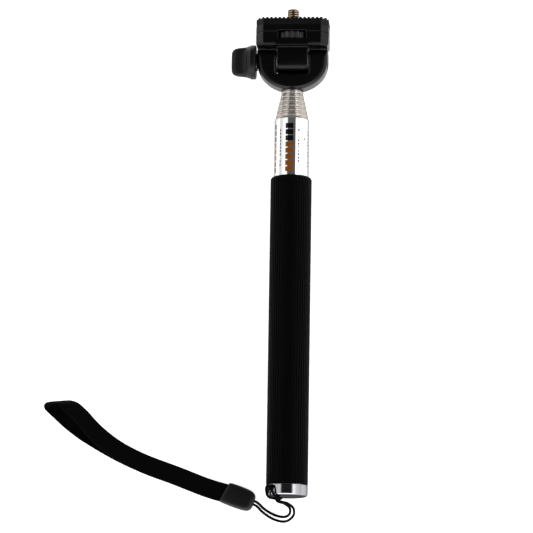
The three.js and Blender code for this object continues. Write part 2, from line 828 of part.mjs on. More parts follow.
screwPlaces.forEach(([sx, sz], i) => {
  const made = turned(
    [
      [0, COVER_SCREW_SEAT - COVER_SCREW_HEAD],
      [COVER_SCREW_HEAD_R, COVER_SCREW_SEAT - COVER_SCREW_HEAD],
      [COVER_SCREW_HEAD_R, COVER_SCREW_SEAT],
      [COVER_SCREW_R, COVER_SCREW_SEAT],
      [COVER_SCREW_R, COVER_SCREW_TIP],
      [0, COVER_SCREW_TIP],
    ],
    SCREW_SIDES,
  );
  piece(`cover_screw_${i + 1}`, platform, atCoverScrew(made, sx, sz), BLACK_STEEL);
});

// ---- Thumb wheel and camera screw, which turn together ----
const wheelBody = body("wheel_body", platform);

function thumbWheel() {
  const ridges = [];
  const steps = [[0, 0], [0.55, 0], [0.7, WHEEL_RIDGE_DEPTH], [0.85, WHEEL_RIDGE_DEPTH]];
  for (let i = 0; i < WHEEL_RIDGES; i++) {
    for (const [share, depth] of steps) {
      const a = ((i + share) / WHEEL_RIDGES) * 2 * Math.PI;
      const r = WHEEL_R - depth;
      ridges.push([r * Math.cos(a), r * Math.sin(a)]);
    }
  }
  return cut(
    planPrism(ridges, WINDOW_BOTTOM + WHEEL_GAP, WINDOW_TOP - WHEEL_GAP, WHEEL_ROUNDING),
    bar(SCREW_R, WINDOW_BOTTOM, WINDOW_TOP, SMALL_SIDES),
  );
}

piece("thumb_wheel", wheelBody, thumbWheel(), KNOB_PLASTIC);

function cameraScrew() {
  const root = SCREW_R - 0.6 * SCREW_PITCH;
  const foot = WINDOW_BOTTOM + WHEEL_GAP;
  const profile = [[0, foot], [SCREW_R, foot]];
  const threadEnd = SCREW_TIP - SCREW_TIP_CHAMFER / 2;
  for (let y = PAD_TOP - THREAD_SINK; y + SCREW_PITCH < threadEnd; y += SCREW_PITCH) {
    profile.push([SCREW_R, y]);
    profile.push([root, y + SCREW_PITCH / 2]);
  }
  profile.push([SCREW_R, profile[profile.length - 1][1] + SCREW_PITCH / 2]);
  profile.push([SCREW_R - SCREW_TIP_CHAMFER, SCREW_TIP]);
  profile.push([0, SCREW_TIP]);
  return turned(profile, SMALL_SIDES);
}

piece("camera_screw", wheelBody, cameraScrew(), BRASS);

// ---- Wrist strap ----

// A point from its distance along the strap cap's axis, across it and above its middle.
function atStrapCap(along, across, up) {
  const point = new THREE.Vector3(along, across, up);
  point.applyAxisAngle(new THREE.Vector3(0, 0, 1), STRAP_CAP_TURN);
  return point.add(new THREE.Vector3(STRAP_CAP_X, STRAP_CAP_Y, STRAP_CAP_Z));
}

function strapCap() {
  const halfWidth = STRAP_CAP_WIDTH / 2;
  const cornerX = CAP_END - STRAP_CAP_CORNER;
  const cornerY = halfWidth - STRAP_CAP_CORNER;
  const points = [
    [-CAP_END, -halfWidth + 0.6],
    [-CAP_END + 1.2, -halfWidth],
    ...arc(cornerX, -cornerY, STRAP_CAP_CORNER, 270, 360, 4),
    ...arc(cornerX, cornerY, STRAP_CAP_CORNER, 0, 90, 4),
    [-CAP_END + 1.2, halfWidth],
    [-CAP_END, halfWidth - 0.6],
  ];
  const half = STRAP_CAP_HEIGHT / 2;
  const layers = LAYER_UP + WEBBING_THICKNESS / 2 + WEBBING_GAP;
  const wide = WEBBING_WIDTH / 2 + WEBBING_GAP;
  const cords = STRAND_HALF + CORD_R + CORD_POCKET_GAP;
  const cordUp = CORD_R + CORD_BORE_GAP;
  const blank = frontPrism(points, -half, half, STRAP_CAP_ROUNDING);
  const hollow = cut(
    blank,
    box(-CAP_END - BEYOND, -CAP_END + WEBBING_POCKET, -wide, wide, -layers, layers),
    box(CAP_END - CORD_POCKET, CAP_END + BEYOND, -cords, cords, -cordUp, cordUp),
  );
  return hollow
    .rotate([0, 0, THREE.MathUtils.radToDeg(STRAP_CAP_TURN)])
    .translate([STRAP_CAP_X, STRAP_CAP_Y, STRAP_CAP_Z]);
}

piece("strap_cap", handle, strapCap(), BLACK_PLASTIC);

// The webbing leaves the cap, runs out on the floor, turns over at the end and comes back on top.
function webbing() {
  const inside = -CAP_END + WEBBING_POCKET - POCKET_END_GAP;
  const low = atStrapCap(inside, 0, -LAYER_UP);
  const route = [
    [-44.0, 5.7],
    [-60.0, 11.8],
    [-77.0, 18.0],
    [-92.0, 25.1],
    [-104.0, 32.9],
    [-113.5, 40.8],
  ];
  const floorZ = FLOOR + WEBBING_THICKNESS / 2 + 0.35;
  const gapAt = [0, 0.2, 0.6, 1.6, 3.2, 5.0];
  const out = route.map(([x, y], i) => new THREE.Vector3(x, y, i === 0 ? low.z - 1.4 : floorZ));
  const back = route.map(([x, y], i) => {
    const z = floorZ + WEBBING_THICKNESS + 0.25 + gapAt[i];
    return new THREE.Vector3(x, y, i === 0 ? low.z + 2 * LAYER_UP - 1.2 : z);
  });
  const turn = new THREE.Vector3(-121.5, 48.5, floorZ + WEBBING_THICKNESS + 2.0);
  const high = atStrapCap(inside, 0, LAYER_UP);
  const mouthLow = atStrapCap(-CAP_END - 2, 0, -LAYER_UP - 0.1);
  const mouthHigh = atStrapCap(-CAP_END - 2, 0, LAYER_UP + 0.1);
  const points = [low, mouthLow, ...out, turn, ...back.reverse(), mouthHigh, high];
  const path = new THREE.CatmullRomCurve3(points, false, "centripetal");
  const section = outline([
    [-WEBBING_THICKNESS / 2, -WEBBING_WIDTH / 2],
    [WEBBING_THICKNESS / 2, -WEBBING_WIDTH / 2],
    [WEBBING_THICKNESS / 2, WEBBING_WIDTH / 2],
    [-WEBBING_THICKNESS / 2, WEBBING_WIDTH / 2],
  ]);
  return solid(new THREE.ExtrudeGeometry(section, { steps: 64, extrudePath: path }));
}

piece("strap_webbing", handle, webbing(), WEBBING);

// The cord: a doubled loop through the lanyard hole, hitched on itself, with both ends in the cap.
function cordRoute() {
  const one = [
    atStrapCap(CAP_END - CORD_POCKET + POCKET_END_GAP, -STRAND_HALF, 0),
    atStrapCap(CAP_END + 1.5, -STRAND_HALF, -0.2),
    new THREE.Vector3(-13.0, -7.6, -9.7),
    new THREE.Vector3(-7.0, -11.2, -10.0),
    new THREE.Vector3(-1.0, -12.2, -8.8),
    new THREE.Vector3(3.2, -9.6, -5.6),
    new THREE.Vector3(3.6, -6.2, -1.6),
    new THREE.Vector3(0.8, -3.9, 2.2),
    atHole(6.3, -2.6, STRAND_HALF),
    atHole(6.8, -0.2, STRAND_HALF),
    atHole(8.93, 1.9, STRAND_HALF),
    atHole(11.2, 4.12, STRAND_HALF + 0.05),
    atHole(12.3, 4.75, STRAND_HALF + 0.25),
    atHole(13.0, 4.2, STRAND_HALF + 0.7),
    atHole(12.9, 3.0, STRAND_HALF + 1.15),
    atHole(12.3, 1.4, STRAND_HALF + 1.5),
    atHole(11.6, 0.0, STRAND_HALF + 1.65),
    atHole(10.2, -1.0, STRAND_HALF + 1.65),
    atHole(8.0, -1.3, STRAND_HALF + 1.6),
    atHole(5.9, -1.4, STRAND_HALF + 1.2),
  ];
  const apex = atHole(4.4, -1.45, 0);
  return { one, apex };
}

function cord() {
  const { one, apex } = cordRoute();
  const around = HOLE_ALONG.clone();
  // The second strand mirrors the first in the hole, and runs beside it outside.
  const other = one.map((p, i) => {
    if (i >= 8) return p.clone().addScaledVector(around, -2 * p.dot(around));
    return p.clone();
  });
  other[0] = atStrapCap(CAP_END - CORD_POCKET + POCKET_END_GAP, STRAND_HALF, 0);
  other[1] = atStrapCap(CAP_END + 1.5, STRAND_HALF + 0.1, -0.2);
  other[2].add(new THREE.Vector3(0.6, 1.9, 0.1));
  other[3].add(new THREE.Vector3(0.7, 2.2, 0.4));
  other[4].add(new THREE.Vector3(-0.4, 2.3, 0.8));
  other[5].add(new THREE.Vector3(-1.9, 1.0, 0.9));
  other[6].add(new THREE.Vector3(-2.0, 0.2, 0.3));
  other[7].add(new THREE.Vector3(-1.7, -0.1, 0.1));
  const points = [...one, apex, ...other.reverse()];
  const path = new THREE.CatmullRomCurve3(points, false, "centripetal");
  const section = outline(arc(0, 0, CORD_R, 0, 300, 5));
  return solid(new THREE.ExtrudeGeometry(section, { steps: 100, extrudePath: path }));
}

piece("strap_cord", handle, cord(), WEBBING);

export default pole;
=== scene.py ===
# %% [markdown]
# A telescopic camera pole: lesson in cells
#
# The pole lies on its back on a pale table. It has a ribbed rubber grip, polished tubes that nest in one
# another, a black head that tilts, and a wrist strap. Every piece below is worked out as a surface with numpy
# and placed by the measured model, which is loaded first and never changed.

# %% The measured model, called the frame
import bpy
import bmesh
import math
import numpy as np
from mathutils import Matrix, Vector


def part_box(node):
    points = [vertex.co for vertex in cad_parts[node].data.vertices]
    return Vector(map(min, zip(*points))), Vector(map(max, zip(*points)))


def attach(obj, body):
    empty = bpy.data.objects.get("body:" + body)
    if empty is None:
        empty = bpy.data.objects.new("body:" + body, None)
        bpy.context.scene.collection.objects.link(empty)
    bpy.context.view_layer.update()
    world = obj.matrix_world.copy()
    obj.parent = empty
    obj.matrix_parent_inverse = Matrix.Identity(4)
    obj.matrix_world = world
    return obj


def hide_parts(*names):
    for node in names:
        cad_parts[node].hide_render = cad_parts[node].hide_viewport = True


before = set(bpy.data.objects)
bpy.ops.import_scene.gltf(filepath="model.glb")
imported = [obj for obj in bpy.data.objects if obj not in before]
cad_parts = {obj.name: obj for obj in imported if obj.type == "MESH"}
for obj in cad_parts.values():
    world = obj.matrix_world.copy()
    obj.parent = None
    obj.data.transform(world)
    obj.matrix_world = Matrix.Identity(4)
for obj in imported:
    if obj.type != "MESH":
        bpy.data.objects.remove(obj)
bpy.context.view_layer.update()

MM = 0.001


def corners(node):
    """A measured node's lowest and highest corners, in millimetres."""
    low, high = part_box(node)
    return np.array(low) / MM, np.array(high) / MM


GRIP_LOW, GRIP_HIGH = corners("grip_sleeve")
GRIP_R = GRIP_HIGH[2]
FLOOR = -GRIP_R

# %% [markdown]
# The camera
#
# Product views are taken from above with a long lens, so that parallel tubes stay nearly parallel. The
# camera stands 1.57 m from the pole, leans a little towards its butt end and a little to its right. A camera
# in Blender looks along its own -Z, so its matrix is built from three axes: right, up and backwards. Angles
# would do as well, but three axes say plainly which way is up in the view.

# %% Camera
AIM = Vector((-12.6, 123.5, 0.0)) * MM
LEAN_BUTT = math.radians(10.7)
LEAN_RIGHT = math.radians(4.0)
ROLL = math.radians(0.88)
DISTANCE = 1.57

backwards = Vector((math.tan(LEAN_RIGHT), -math.tan(LEAN_BUTT), 1.0)).normalized()
view_up = Vector((-math.sin(ROLL), math.cos(ROLL), 0.0))
view_up = (view_up - backwards * view_up.dot(backwards)).normalized()
right = view_up.cross(backwards)

camera_data = bpy.data.cameras.new("camera")
camera_data.lens = 198.0
camera_data.sensor_width = 36.0
camera_data.clip_start = 0.05
camera_data.clip_end = 20.0
camera = bpy.data.objects.new("camera", camera_data)
camera.matrix_world = Matrix.Translation(AIM + backwards * DISTANCE) @ Matrix(
    (right, view_up, backwards)
).transposed().to_4x4()
bpy.context.scene.collection.objects.link(camera)
bpy.context.scene.camera = camera
bpy.context.scene.view_settings.view_transform = "Standard"
print("camera stands at", [round(v, 3) for v in camera.matrix_world.translation], "m")

# %% [markdown]
# Surfaces from numbers
#
# Nearly every piece here is a grid of points: one number says how far along the piece, the other how far
# around it. The helper below turns such a grid into a closed mesh, with whole arrays and no loop over points.
# It also writes a UV map measured in metres, which cloth and cord need, and it checks that faces point out by
# the sign of the volume they enclose.

# %% Grid helpers
def grid_faces(rows, columns, closed_rows):
    """Corner numbers of the quads between neighbouring rows. Columns always join round to the first; rows do
    so only if closed_rows."""
    last = rows if closed_rows else rows - 1
    i, j = np.meshgrid(np.arange(last), np.arange(columns), indexing="ij")
    here, after = i, (i + 1) % rows
    nextj = (j + 1) % columns
    quads = [here * columns + j, here * columns + nextj, after * columns + nextj, after * columns + j]
    return np.stack(quads, axis=-1).reshape(-1, 4), i.reshape(-1), j.reshape(-1)


def enclosed_volume(points, quads):
    """A sixth of the sum of the triple products of each face's two triangles."""
    a, b, c, d = (points[quads[:, k]] for k in range(4))
    first = np.einsum("ij,ij->i", a, np.cross(b, c))
    second = np.einsum("ij,ij->i", a, np.cross(c, d))
    return (first.sum() + second.sum()) / 6.0


def surface(name, grid, closed_rows=False, sharp=40.0, uv_size=(1.0, 1.0)):
    """A mesh object from a (rows, columns, 3) grid in millimetres. Open rows end in flat caps."""
    rows, columns, _ = grid.shape
    points = grid.reshape(-1, 3) * MM
    quads, i, j = grid_faces(rows, columns, closed_rows)
    outward = enclosed_volume(points, quads) > 0
    faces = quads.tolist()
    if not outward:
        faces = quads[:, ::-1].tolist()
    if not closed_rows:
        first = list(range(columns))[::-1]
        end = list(range((rows - 1) * columns, rows * columns))
        faces += [first, end] if outward else [first[::-1], end[::-1]]
    mesh = bpy.data.meshes.new(name)
    mesh.from_pydata(points.tolist(), [], faces)
    corners = np.stack([j, j + 1, j + 1, j], axis=-1) / columns * uv_size[0]
    heights = np.stack([i, i, i + 1, i + 1], axis=-1) / max(rows - 1, 1) * uv_size[1]
    uv = np.stack([corners, heights], axis=-1)
    if not outward:
        uv = uv[:, ::-1]
    uv = uv.reshape(-1, 2)
    spare = len(mesh.loops) - len(uv)
    uv = np.concatenate([uv, np.zeros((spare, 2))])
    layer = mesh.uv_layers.new(name="UVMap")
    layer.data.foreach_set("uv", uv.reshape(-1))
    mesh.update()
    mesh.shade_smooth()
    mesh.set_sharp_from_angle(angle=math.radians(sharp))
    made = bpy.data.objects.new(name, mesh)
    bpy.context.scene.collection.objects.link(made)
    return made


def full_turn(sides):
    """Evenly spaced angles once round."""
    return np.linspace(0.0, 2.0 * np.pi, sides, endpoint=False)


def around_pole(radius, heights, angle):
    """Points about the Y axis: x is the radius times the sine of the angle, z the radius times its cosine."""
    grid = np.empty((len(heights), len(angle), 3))
    grid[..., 0] = radius * np.sin(angle)
    grid[..., 1] = heights[:, None]
    grid[..., 2] = radius * np.cos(angle)
    return grid


def turned(name, profile, sides=128, closed=False, sharp=40.0):
    """Turns a profile of (radius, height) pairs about the Y axis. The first point of each ring faces +Z."""
    profile = np.array(profile, float)
    grid = around_pole(profile[:, :1], profile[:, 1], full_turn(sides))
    return surface(name, grid, closed_rows=closed, sharp=sharp)


def dressed(piece, body, material, slot, *nodes):
    """Gives the piece its finish, hangs it on its body and lets it stand for the measured nodes."""
    piece.data.materials.clear()
    piece.data.materials.append(material)
    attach(piece, body)
    if nodes:
        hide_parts(*nodes)
    return piece


def arc(cx, cy, radius, start, stop, steps):
    """Points on a circle about (cx, cy), between two angles in degrees."""
    a = np.radians(np.linspace(start, stop, steps))
    return [(cx + radius * math.cos(t), cy + radius * math.sin(t)) for t in a]


# %% [markdown]
# Finishes
#
# A finish is a small graph of nodes. Each reads Object coordinates, because the pieces lie where the object
# does, so a pattern keeps its size in millimetres, or the piece's own UV map where it has to follow cloth.
# Real surfaces are never even: the roughness wanders a little, and a fine bump breaks the light.

# %% Helpers for finishes
class Finish:
    """A material with a Principled shader, and short ways to add the nodes that feed it."""

    def __init__(self, name, color, roughness, metallic=0.0, **sockets):
        self.material = bpy.data.materials.new(name)
        self.material.use_nodes = True
        self.tree = self.material.node_tree
        self.tree.nodes.clear()
        self.out = self.tree.nodes.new("ShaderNodeOutputMaterial")
        self.shader = self.tree.nodes.new("ShaderNodeBsdfPrincipled")
        self.join(self.shader.outputs[0], self.out.inputs[0])
        self.shader.inputs["Base Color"].default_value = (*color, 1.0)
        self.shader.inputs["Roughness"].default_value = roughness
        self.shader.inputs["Metallic"].default_value = metallic
        for socket, value in sockets.items():
            self.shader.inputs[socket.replace("_", " ")].default_value = value

    def join(self, source, target):
        self.tree.links.new(source, target)

    def place(self, use="Object", scale=(1.0, 1.0, 1.0)):
        """Coordinates, stretched by scale."""
        where = self.tree.nodes.new("ShaderNodeTexCoord")
        mapping = self.tree.nodes.new("ShaderNodeMapping")
        mapping.inputs["Scale"].default_value = scale
        self.join(where.outputs[use], mapping.inputs["Vector"])
        return mapping.outputs["Vector"]

    def noise(self, vector, scale, detail=3.0):
        node = self.tree.nodes.new("ShaderNodeTexNoise")
        node.inputs["Scale"].default_value = scale
        node.inputs["Detail"].default_value = detail
        self.join(vector, node.inputs["Vector"])
        return node.outputs["Fac"]

    def split(self, vector):
        """The x, y and z of a vector."""
        node = self.tree.nodes.new("ShaderNodeSeparateXYZ")
        self.join(vector, node.inputs[0])
        return node.outputs

    def math(self, operation, a, b=0.0, c=0.0):
        node = self.tree.nodes.new("ShaderNodeMath")
        node.operation = operation
        for socket, value in zip(node.inputs, (a, b, c)):
            if isinstance(value, (int, float)):
                socket.default_value = value
            else:
                self.join(value, socket)
        return node.outputs[0]

    def times(self, a, b):
        return self.math("MULTIPLY", a, b)

    def squares(self, a, b):
        """The sum of the squares of both."""
        return self.math("ADD", self.times(a, a), self.times(b, b))

    def between(self, value, low, high):
        """1 where value lies from low to high, else 0."""
        return self.times(self.math("GREATER_THAN", value, low), self.math("LESS_THAN", value, high))

    def spread(self, value, low, high):
        """Carries a value of about 0 to 1 to low to high."""
        node = self.tree.nodes.new("ShaderNodeMapRange")
        node.inputs["To Min"].default_value = low
        node.inputs["To Max"].default_value = high
        self.join(value, node.inputs["Value"])
        return node.outputs[0]

    def mix(self, factor, first, second):
        """A colour that goes from first to second as factor goes from 0 to 1."""
        node = self.tree.nodes.new("ShaderNodeMix")
        node.data_type = "RGBA"
        self.join(factor, node.inputs[0])
        sockets = [s for s in node.inputs if s.type == "RGBA"]
        for socket, value in zip(sockets, (first, second)):
            if isinstance(value, tuple):
                socket.default_value = (*value, 1.0)
            else:
                self.join(value, socket)
        return next(s for s in node.outputs if s.type == "RGBA")

    def bump(self, height, strength, depth):
        """Breaks the light by a height; depth is in metres."""
        node = self.tree.nodes.new("ShaderNodeBump")
        node.inputs["Strength"].default_value = strength
        node.inputs["Distance"].default_value = depth
        self.join(height, node.inputs["Height"])
        if self.shader.inputs["Normal"].links:
            self.join(self.shader.inputs["Normal"].links[0].from_socket, node.inputs["Normal"])
        self.join(node.outputs[0], self.shader.inputs["Normal"])

    def feed(self, socket, value):
        self.join(value, self.shader.inputs[socket])


# %% [markdown]
# Metals
#
# A tube is polished along its length while it spins, so its scratches run round it: noise squeezed along the
# pole makes them. The drawn mouths are left a little duller and warmer than the outer tube. Brass and the
# blackened screws use the same idea with other colours.

# %% Metals
def polished(name, color, roughness, wander, along, metallic=1.0):
    """A metal whose fine scratches run round the pole, with smudges that make it locally duller; its
    reflection darkens where it is seen edge on."""
    made = Finish(name, color, roughness, metallic=metallic, Specular_Tint=(0.3, 0.3, 0.3, 1.0))
    scratches = made.noise(made.place(scale=(40.0, along, 40.0)), 6.0)
    smudges = made.noise(made.place(), 90.0, detail=2.0)
    both = made.math("ADD", made.times(scratches, 0.6), made.times(smudges, 0.4))
    made.feed("Roughness", made.spread(both, roughness - wander, roughness + wander))
    made.bump(scratches, 0.04, 0.00002)
    return made


drawn_steel = polished("drawn_steel", (0.43, 0.395, 0.36), 0.17, 0.05, 2500.0, metallic=0.67)
satin_aluminium = polished("satin_aluminium", (0.32, 0.32, 0.335), 0.1, 0.03, 1800.0)
painted_dark_butt_face = polished("painted_dark_butt_face", (0.0085, 0.008, 0.008), 0.4, 0.06, 1800.0)  # painted dark reflection for the cap's butt face
THREAD_ROOT = 0.00275  # metres from the pole's axis


def threaded_brass():
    """Brass made dark where it is nearer the pole's axis than the thread's crests: painted shade in the
    thread roots.
    """
    crest = (0.42, 0.33, 0.23)
    made = polished("turned_brass", crest, 0.26, 0.08, 1800.0, metallic=0.85)
    x, _, z = made.split(made.place())
    root_shade = made.math("LESS_THAN", made.math("SQRT", made.squares(x, z)), THREAD_ROOT)
    # Painted shade: the thread roots get a near-black brass colour.
    made.feed("Base Color", made.mix(root_shade, crest, (0.05, 0.035, 0.025)))
    return made


turned_brass = threaded_brass()
blackened_steel = polished("blackened_steel", (0.035, 0.035, 0.038), 0.35, 0.1, 900.0)

# %% [markdown]
# The outer tube carries printed marks: blocks in a column, black above and orange below, and columns of fine
# grey dashes. They say nothing. A column is a range of angles about the pole, and a block is a range of a
# repeating length along it, so both come from plain sums on the coordinates. Ink is not metal, so where there
# is ink the metallic value falls to nothing.

# %% Outer tube's finish with printed marks
TUBE_SILVER = (0.8, 0.8, 0.81)
BLACK_INK = (0.004, 0.004, 0.004)
ORANGE_INK = (0.2, 0.062, 0.01)
GREY_INK = (0.05, 0.05, 0.055)
LACQUERED = 0.92  # how metallic the bare tube looks under its lacquer
BLOCK_ANGLES = (-1.2, -0.08, 1.95, 3.0, -2.3)
DASH_ANGLES = (-0.64, 0.46, 1.18, -1.75, 2.45)
DOT_RADIUS = 0.0005


def printed_steel():
    """Mirror polish under clear lacquer, with columns of blocks and of dashes."""
    made = polished("printed_steel", TUBE_SILVER, 0.08, 0.03, 2500.0, metallic=LACQUERED)
    x, y, z = made.split(made.place())
    angle = made.math("ARCTAN2", x, z)

    def columns(middles, half):
        """1 within half of any of those angles."""
        found = made.between(angle, middles[0] - half, middles[0] + half)
        for middle in middles[1:]:
            found = made.math("MAXIMUM", found, made.between(angle, middle - half, middle + half))
        return found

    def repeated(pitch, start, stop):
        """1 in that stretch of every pitch along the pole."""
        return made.between(made.math("FRACT", made.math("DIVIDE", y, pitch)), start, stop)

    blocks = made.times(columns(BLOCK_ANGLES, 0.225), repeated(0.0034, 0.07, 0.9))
    black = made.times(blocks, made.between(y, 0.1905, 0.2007))
    orange = made.times(blocks, made.between(y, 0.1738, 0.1904))
    words = made.math("GREATER_THAN", made.noise(made.place(), 300.0, 0.0), 0.42)
    dashes = made.times(columns(DASH_ANGLES, 0.045), repeated(0.0019, 0.15, 0.75))
    dashes = made.times(dashes, made.times(words, made.between(y, 0.1755, 0.1975)))
    dot_y = made.math("SUBTRACT", y, 0.192)
    dot_x = made.times(made.math("SUBTRACT", angle, 0.86), 0.0095)
    dot = made.math("LESS_THAN", made.squares(dot_x, dot_y), DOT_RADIUS ** 2)
    black = made.math("MAXIMUM", black, dot)
    color = made.mix(dashes, TUBE_SILVER, GREY_INK)
    color = made.mix(black, color, BLACK_INK)
    color = made.mix(orange, color, ORANGE_INK)
    made.feed("Base Color", color)
    inked = made.math("MAXIMUM", made.math("MAXIMUM", black, orange), dashes)
    made.feed("Metallic", made.math("MULTIPLY_ADD", inked, -LACQUERED, LACQUERED))
    return made


mirror_steel = printed_steel()

# %% [markdown]
# Plastics, rubber and cloth
#
# Moulded plastic copies the fine sparked grain of its mould, so it gets a small, dense bump. Rubber is the
# same but rougher. Webbing and cord follow their UV maps: two crossing waves make a plain weave, and the
# cord's slanting waves make its braid.

# %% Plastics and rubber
def moulded(name, color, roughness, grain, depth, shine=0.4):
    """Plastic with a sparked grain of that many cells a metre, and faint patches of gloss."""
    made = Finish(name, color, roughness, Specular_IOR_Level=shine)
    fine = made.noise(made.place(), grain, detail=2.0)
    patches = made.noise(made.place(), 60.0, detail=2.0)
    made.feed("Roughness", made.spread(patches, roughness - 0.06, roughness + 0.06))
    made.bump(fine, 0.25, depth)
    return made


satin_plastic = moulded("satin_plastic", (0.0009, 0.0009, 0.0009), 0.32, 2600.0, 0.00003, shine=0.2)
knob_plastic = moulded("knob_plastic", (0.003, 0.0026, 0.0028), 0.42, 2200.0, 0.00004, shine=0.2)
wheel_plastic = moulded("wheel_plastic", (0.016, 0.016, 0.017), 0.36, 2200.0, 0.00004)
cap_plastic = moulded("cap_plastic", (0.0045, 0.0042, 0.0045), 0.4, 2000.0, 0.00004, shine=0.25)
grip_rubber = moulded("grip_rubber", (0.001, 0.001, 0.0009), 0.5, 3200.0, 0.00005, shine=0.035)
pad_rubber = moulded("pad_rubber", (0.0014, 0.0013, 0.0013), 0.45, 3000.0, 0.00005, shine=0.13)
natural_nylon = moulded("natural_nylon", (0.75, 0.73, 0.68), 0.4, 2000.0, 0.00003)


# %% Cloth finishes
def woven(name, color, light, warp, weft, depth):
    """A plain weave on the UV map, which is in metres: the product of two sine waves, warp and weft apart."""
    made = Finish(name, color, 0.85, Specular_IOR_Level=0.03)
    u, v, _ = made.split(made.place("UV"))
    across = made.math("SINE", made.times(u, 2.0 * math.pi / warp))
    along = made.math("SINE", made.times(v, 2.0 * math.pi / weft))
    weave = made.math("MULTIPLY_ADD", made.times(across, along), 0.5, 0.5)
    fuzz = made.noise(made.place("UV"), 5200.0, detail=2.0)
    made.feed("Base Color", made.mix(made.times(weave, fuzz), color, light))
    made.bump(weave, 0.7, depth)
    made.bump(fuzz, 0.3, depth * 0.4)
    return made


WEBBING_DARK, WEBBING_LIGHT = (0.0006, 0.0006, 0.0006), (0.0035, 0.003, 0.0035)
webbing_cloth = woven("webbing_cloth", WEBBING_DARK, WEBBING_LIGHT, 0.0011, 0.0009, 0.00018)
cord_braid = woven("cord_braid", (0.0008, 0.0008, 0.0008), (0.005, 0.005, 0.005), 0.0011, 0.0007, 0.00012)
print("finishes made:", len(bpy.data.materials))

# %% [markdown]
# Tubes along a path
#
# The cord and the webbing are profiles carried along a path. The path is a smooth curve through a few chosen
# points. Its frames are carried along without twist: each step turns the last frame just enough to meet the
# new direction. Curve objects could do this too, but a mesh keeps a UV map measured in metres.

# %% Path helpers
def blended(first, second, start, stop, s):
    """In straight proportion: first where s is start, second where it is stop."""
    return (stop - s) / (stop - start) * first + (s - start) / (stop - start) * second


def smooth_path(points, per_span=10):
    """A centripetal Catmull-Rom curve: each span blends the four points round it, with knots that grow by the
    square root of the distance between points, which keeps tight turns from looping."""
    points = np.array(points, float)
    first = 2 * points[0] - points[1]
    last = 2 * points[-1] - points[-2]
    p = np.vstack([first, points, last])
    steps = np.sqrt(np.linalg.norm(np.diff(p, axis=0), axis=1))
    t = np.concatenate([[0.0], np.cumsum(steps)])
    out = []
    for k in range(1, len(p) - 2):
        s = np.linspace(t[k], t[k + 1], per_span, endpoint=False)[:, None]
        a1 = blended(p[k - 1], p[k], t[k - 1], t[k], s)
        a2 = blended(p[k], p[k + 1], t[k], t[k + 1], s)
        a3 = blended(p[k + 1], p[k + 2], t[k + 1], t[k + 2], s)
        b1 = blended(a1, a2, t[k - 1], t[k + 1], s)
        b2 = blended(a2, a3, t[k], t[k + 2], s)
        out.append(blended(b1, b2, t[k], t[k + 1], s))
    out.append(points[-1:])
    return np.vstack(out)


def unit(v):
    """Each row divided by its length."""
    return v / np.linalg.norm(v, axis=-1, keepdims=True)


def path_length(path):
    return float(np.linalg.norm(np.diff(path, axis=0), axis=1).sum())


def run_along(path):
    """How far along the path each point is: the sum of the steps before it."""
    return np.concatenate([[0.0], np.cumsum(np.linalg.norm(np.diff(path, axis=0), axis=1))])


def carried_frames(path):
    """Two directions across the path at each point, carried along it without twist: the last one less its
    share along the new direction."""
    along = unit(np.gradient(path, axis=0))
    side = np.zeros_like(path)
    start = np.cross(along[0], (0.0, 0.0, 1.0))
    side[0] = start / np.linalg.norm(start)
    for k in range(1, len(path)):
        v = side[k - 1] - along[k] * np.dot(side[k - 1], along[k])
        side[k] = v / np.linalg.norm(v)
    return side, np.cross(side, along)


# %% [markdown]
# The wrist cord
#
# A thin round cord, doubled. It leaves the strap cap, runs out on the table, rises to the end cap, goes
# through the hole in its corner, comes out at the side, and turns back over the corner to hold its own two
# strands in a loop: a cow hitch. The points are the same ones that the measured model uses.

# %% Where the cord runs
CORD_R = 0.7
OUT = np.array([-0.6937, 0.0, 0.7207])
ROUND = np.array([0.7207, 0.0, 0.6937])
HALF = CORD_R + 0.15
CAP_AT = np.array([-26.0, 0.2, (corners("strap_cap")[0][2] + corners("strap_cap")[1][2]) / 2])
CAP_TURN = math.radians(-20.0)
CAP_HALF = 8.5


def at_hole(r, y, t):
    """Distance out from the pole's axis, height, and distance round the rim."""
    return OUT * r + ROUND * t + np.array([0.0, y, 0.0])


def at_strap_cap(along, across, up):
    """Along the strap cap's axis, across it, and above its middle; each is a number or a row of them."""
    c, s = math.cos(CAP_TURN), math.sin(CAP_TURN)
    return CAP_AT + np.stack([along * c - across * s, along * s + across * c, up], axis=-1)


one = [
    at_strap_cap(CAP_HALF - 3.5, -HALF, 0),
    at_strap_cap(CAP_HALF + 1.5, -HALF, -0.2),
    np.array([-13.0, -7.6, -9.7]),
    np.array([-7.0, -11.2, -10.0]),
    np.array([-1.0, -12.2, -8.8]),
    np.array([3.2, -9.6, -5.6]),
    np.array([3.6, -6.2, -1.6]),
    np.array([0.8, -3.9, 2.2]),
    at_hole(6.3, -2.6, HALF),
    at_hole(6.8, -0.2, HALF),
    at_hole(8.93, 1.9, HALF),
    at_hole(11.2, 4.12, HALF + 0.05),
    at_hole(12.3, 4.75, HALF + 0.25),
    at_hole(13.0, 4.2, HALF + 0.7),
    at_hole(12.9, 3.0, HALF + 1.15),
    at_hole(12.3, 1.4, HALF + 1.5),
    at_hole(11.6, 0.0, HALF + 1.65),
    at_hole(10.2, -1.0, HALF + 1.65),
    at_hole(8.0, -1.3, HALF + 1.6),
    at_hole(5.9, -1.4, HALF + 1.2),
]
other = [p.copy() for p in one]
for k in range(8, len(other)):
    other[k] = other[k] - ROUND * 2.0 * np.dot(other[k], ROUND)
other[0] = at_strap_cap(CAP_HALF - 3.5, HALF, 0)
other[1] = at_strap_cap(CAP_HALF + 1.5, HALF + 0.1, -0.2)
APART = [
    (0.6, 1.9, 0.1), (0.7, 2.2, 0.4), (-0.4, 2.3, 0.8),
    (-1.9, 1.0, 0.9), (-2.0, 0.2, 0.3), (-1.7, -0.1, 0.1),
]
for k, shift in enumerate(APART):
    other[k + 2] = other[k + 2] + np.array(shift)
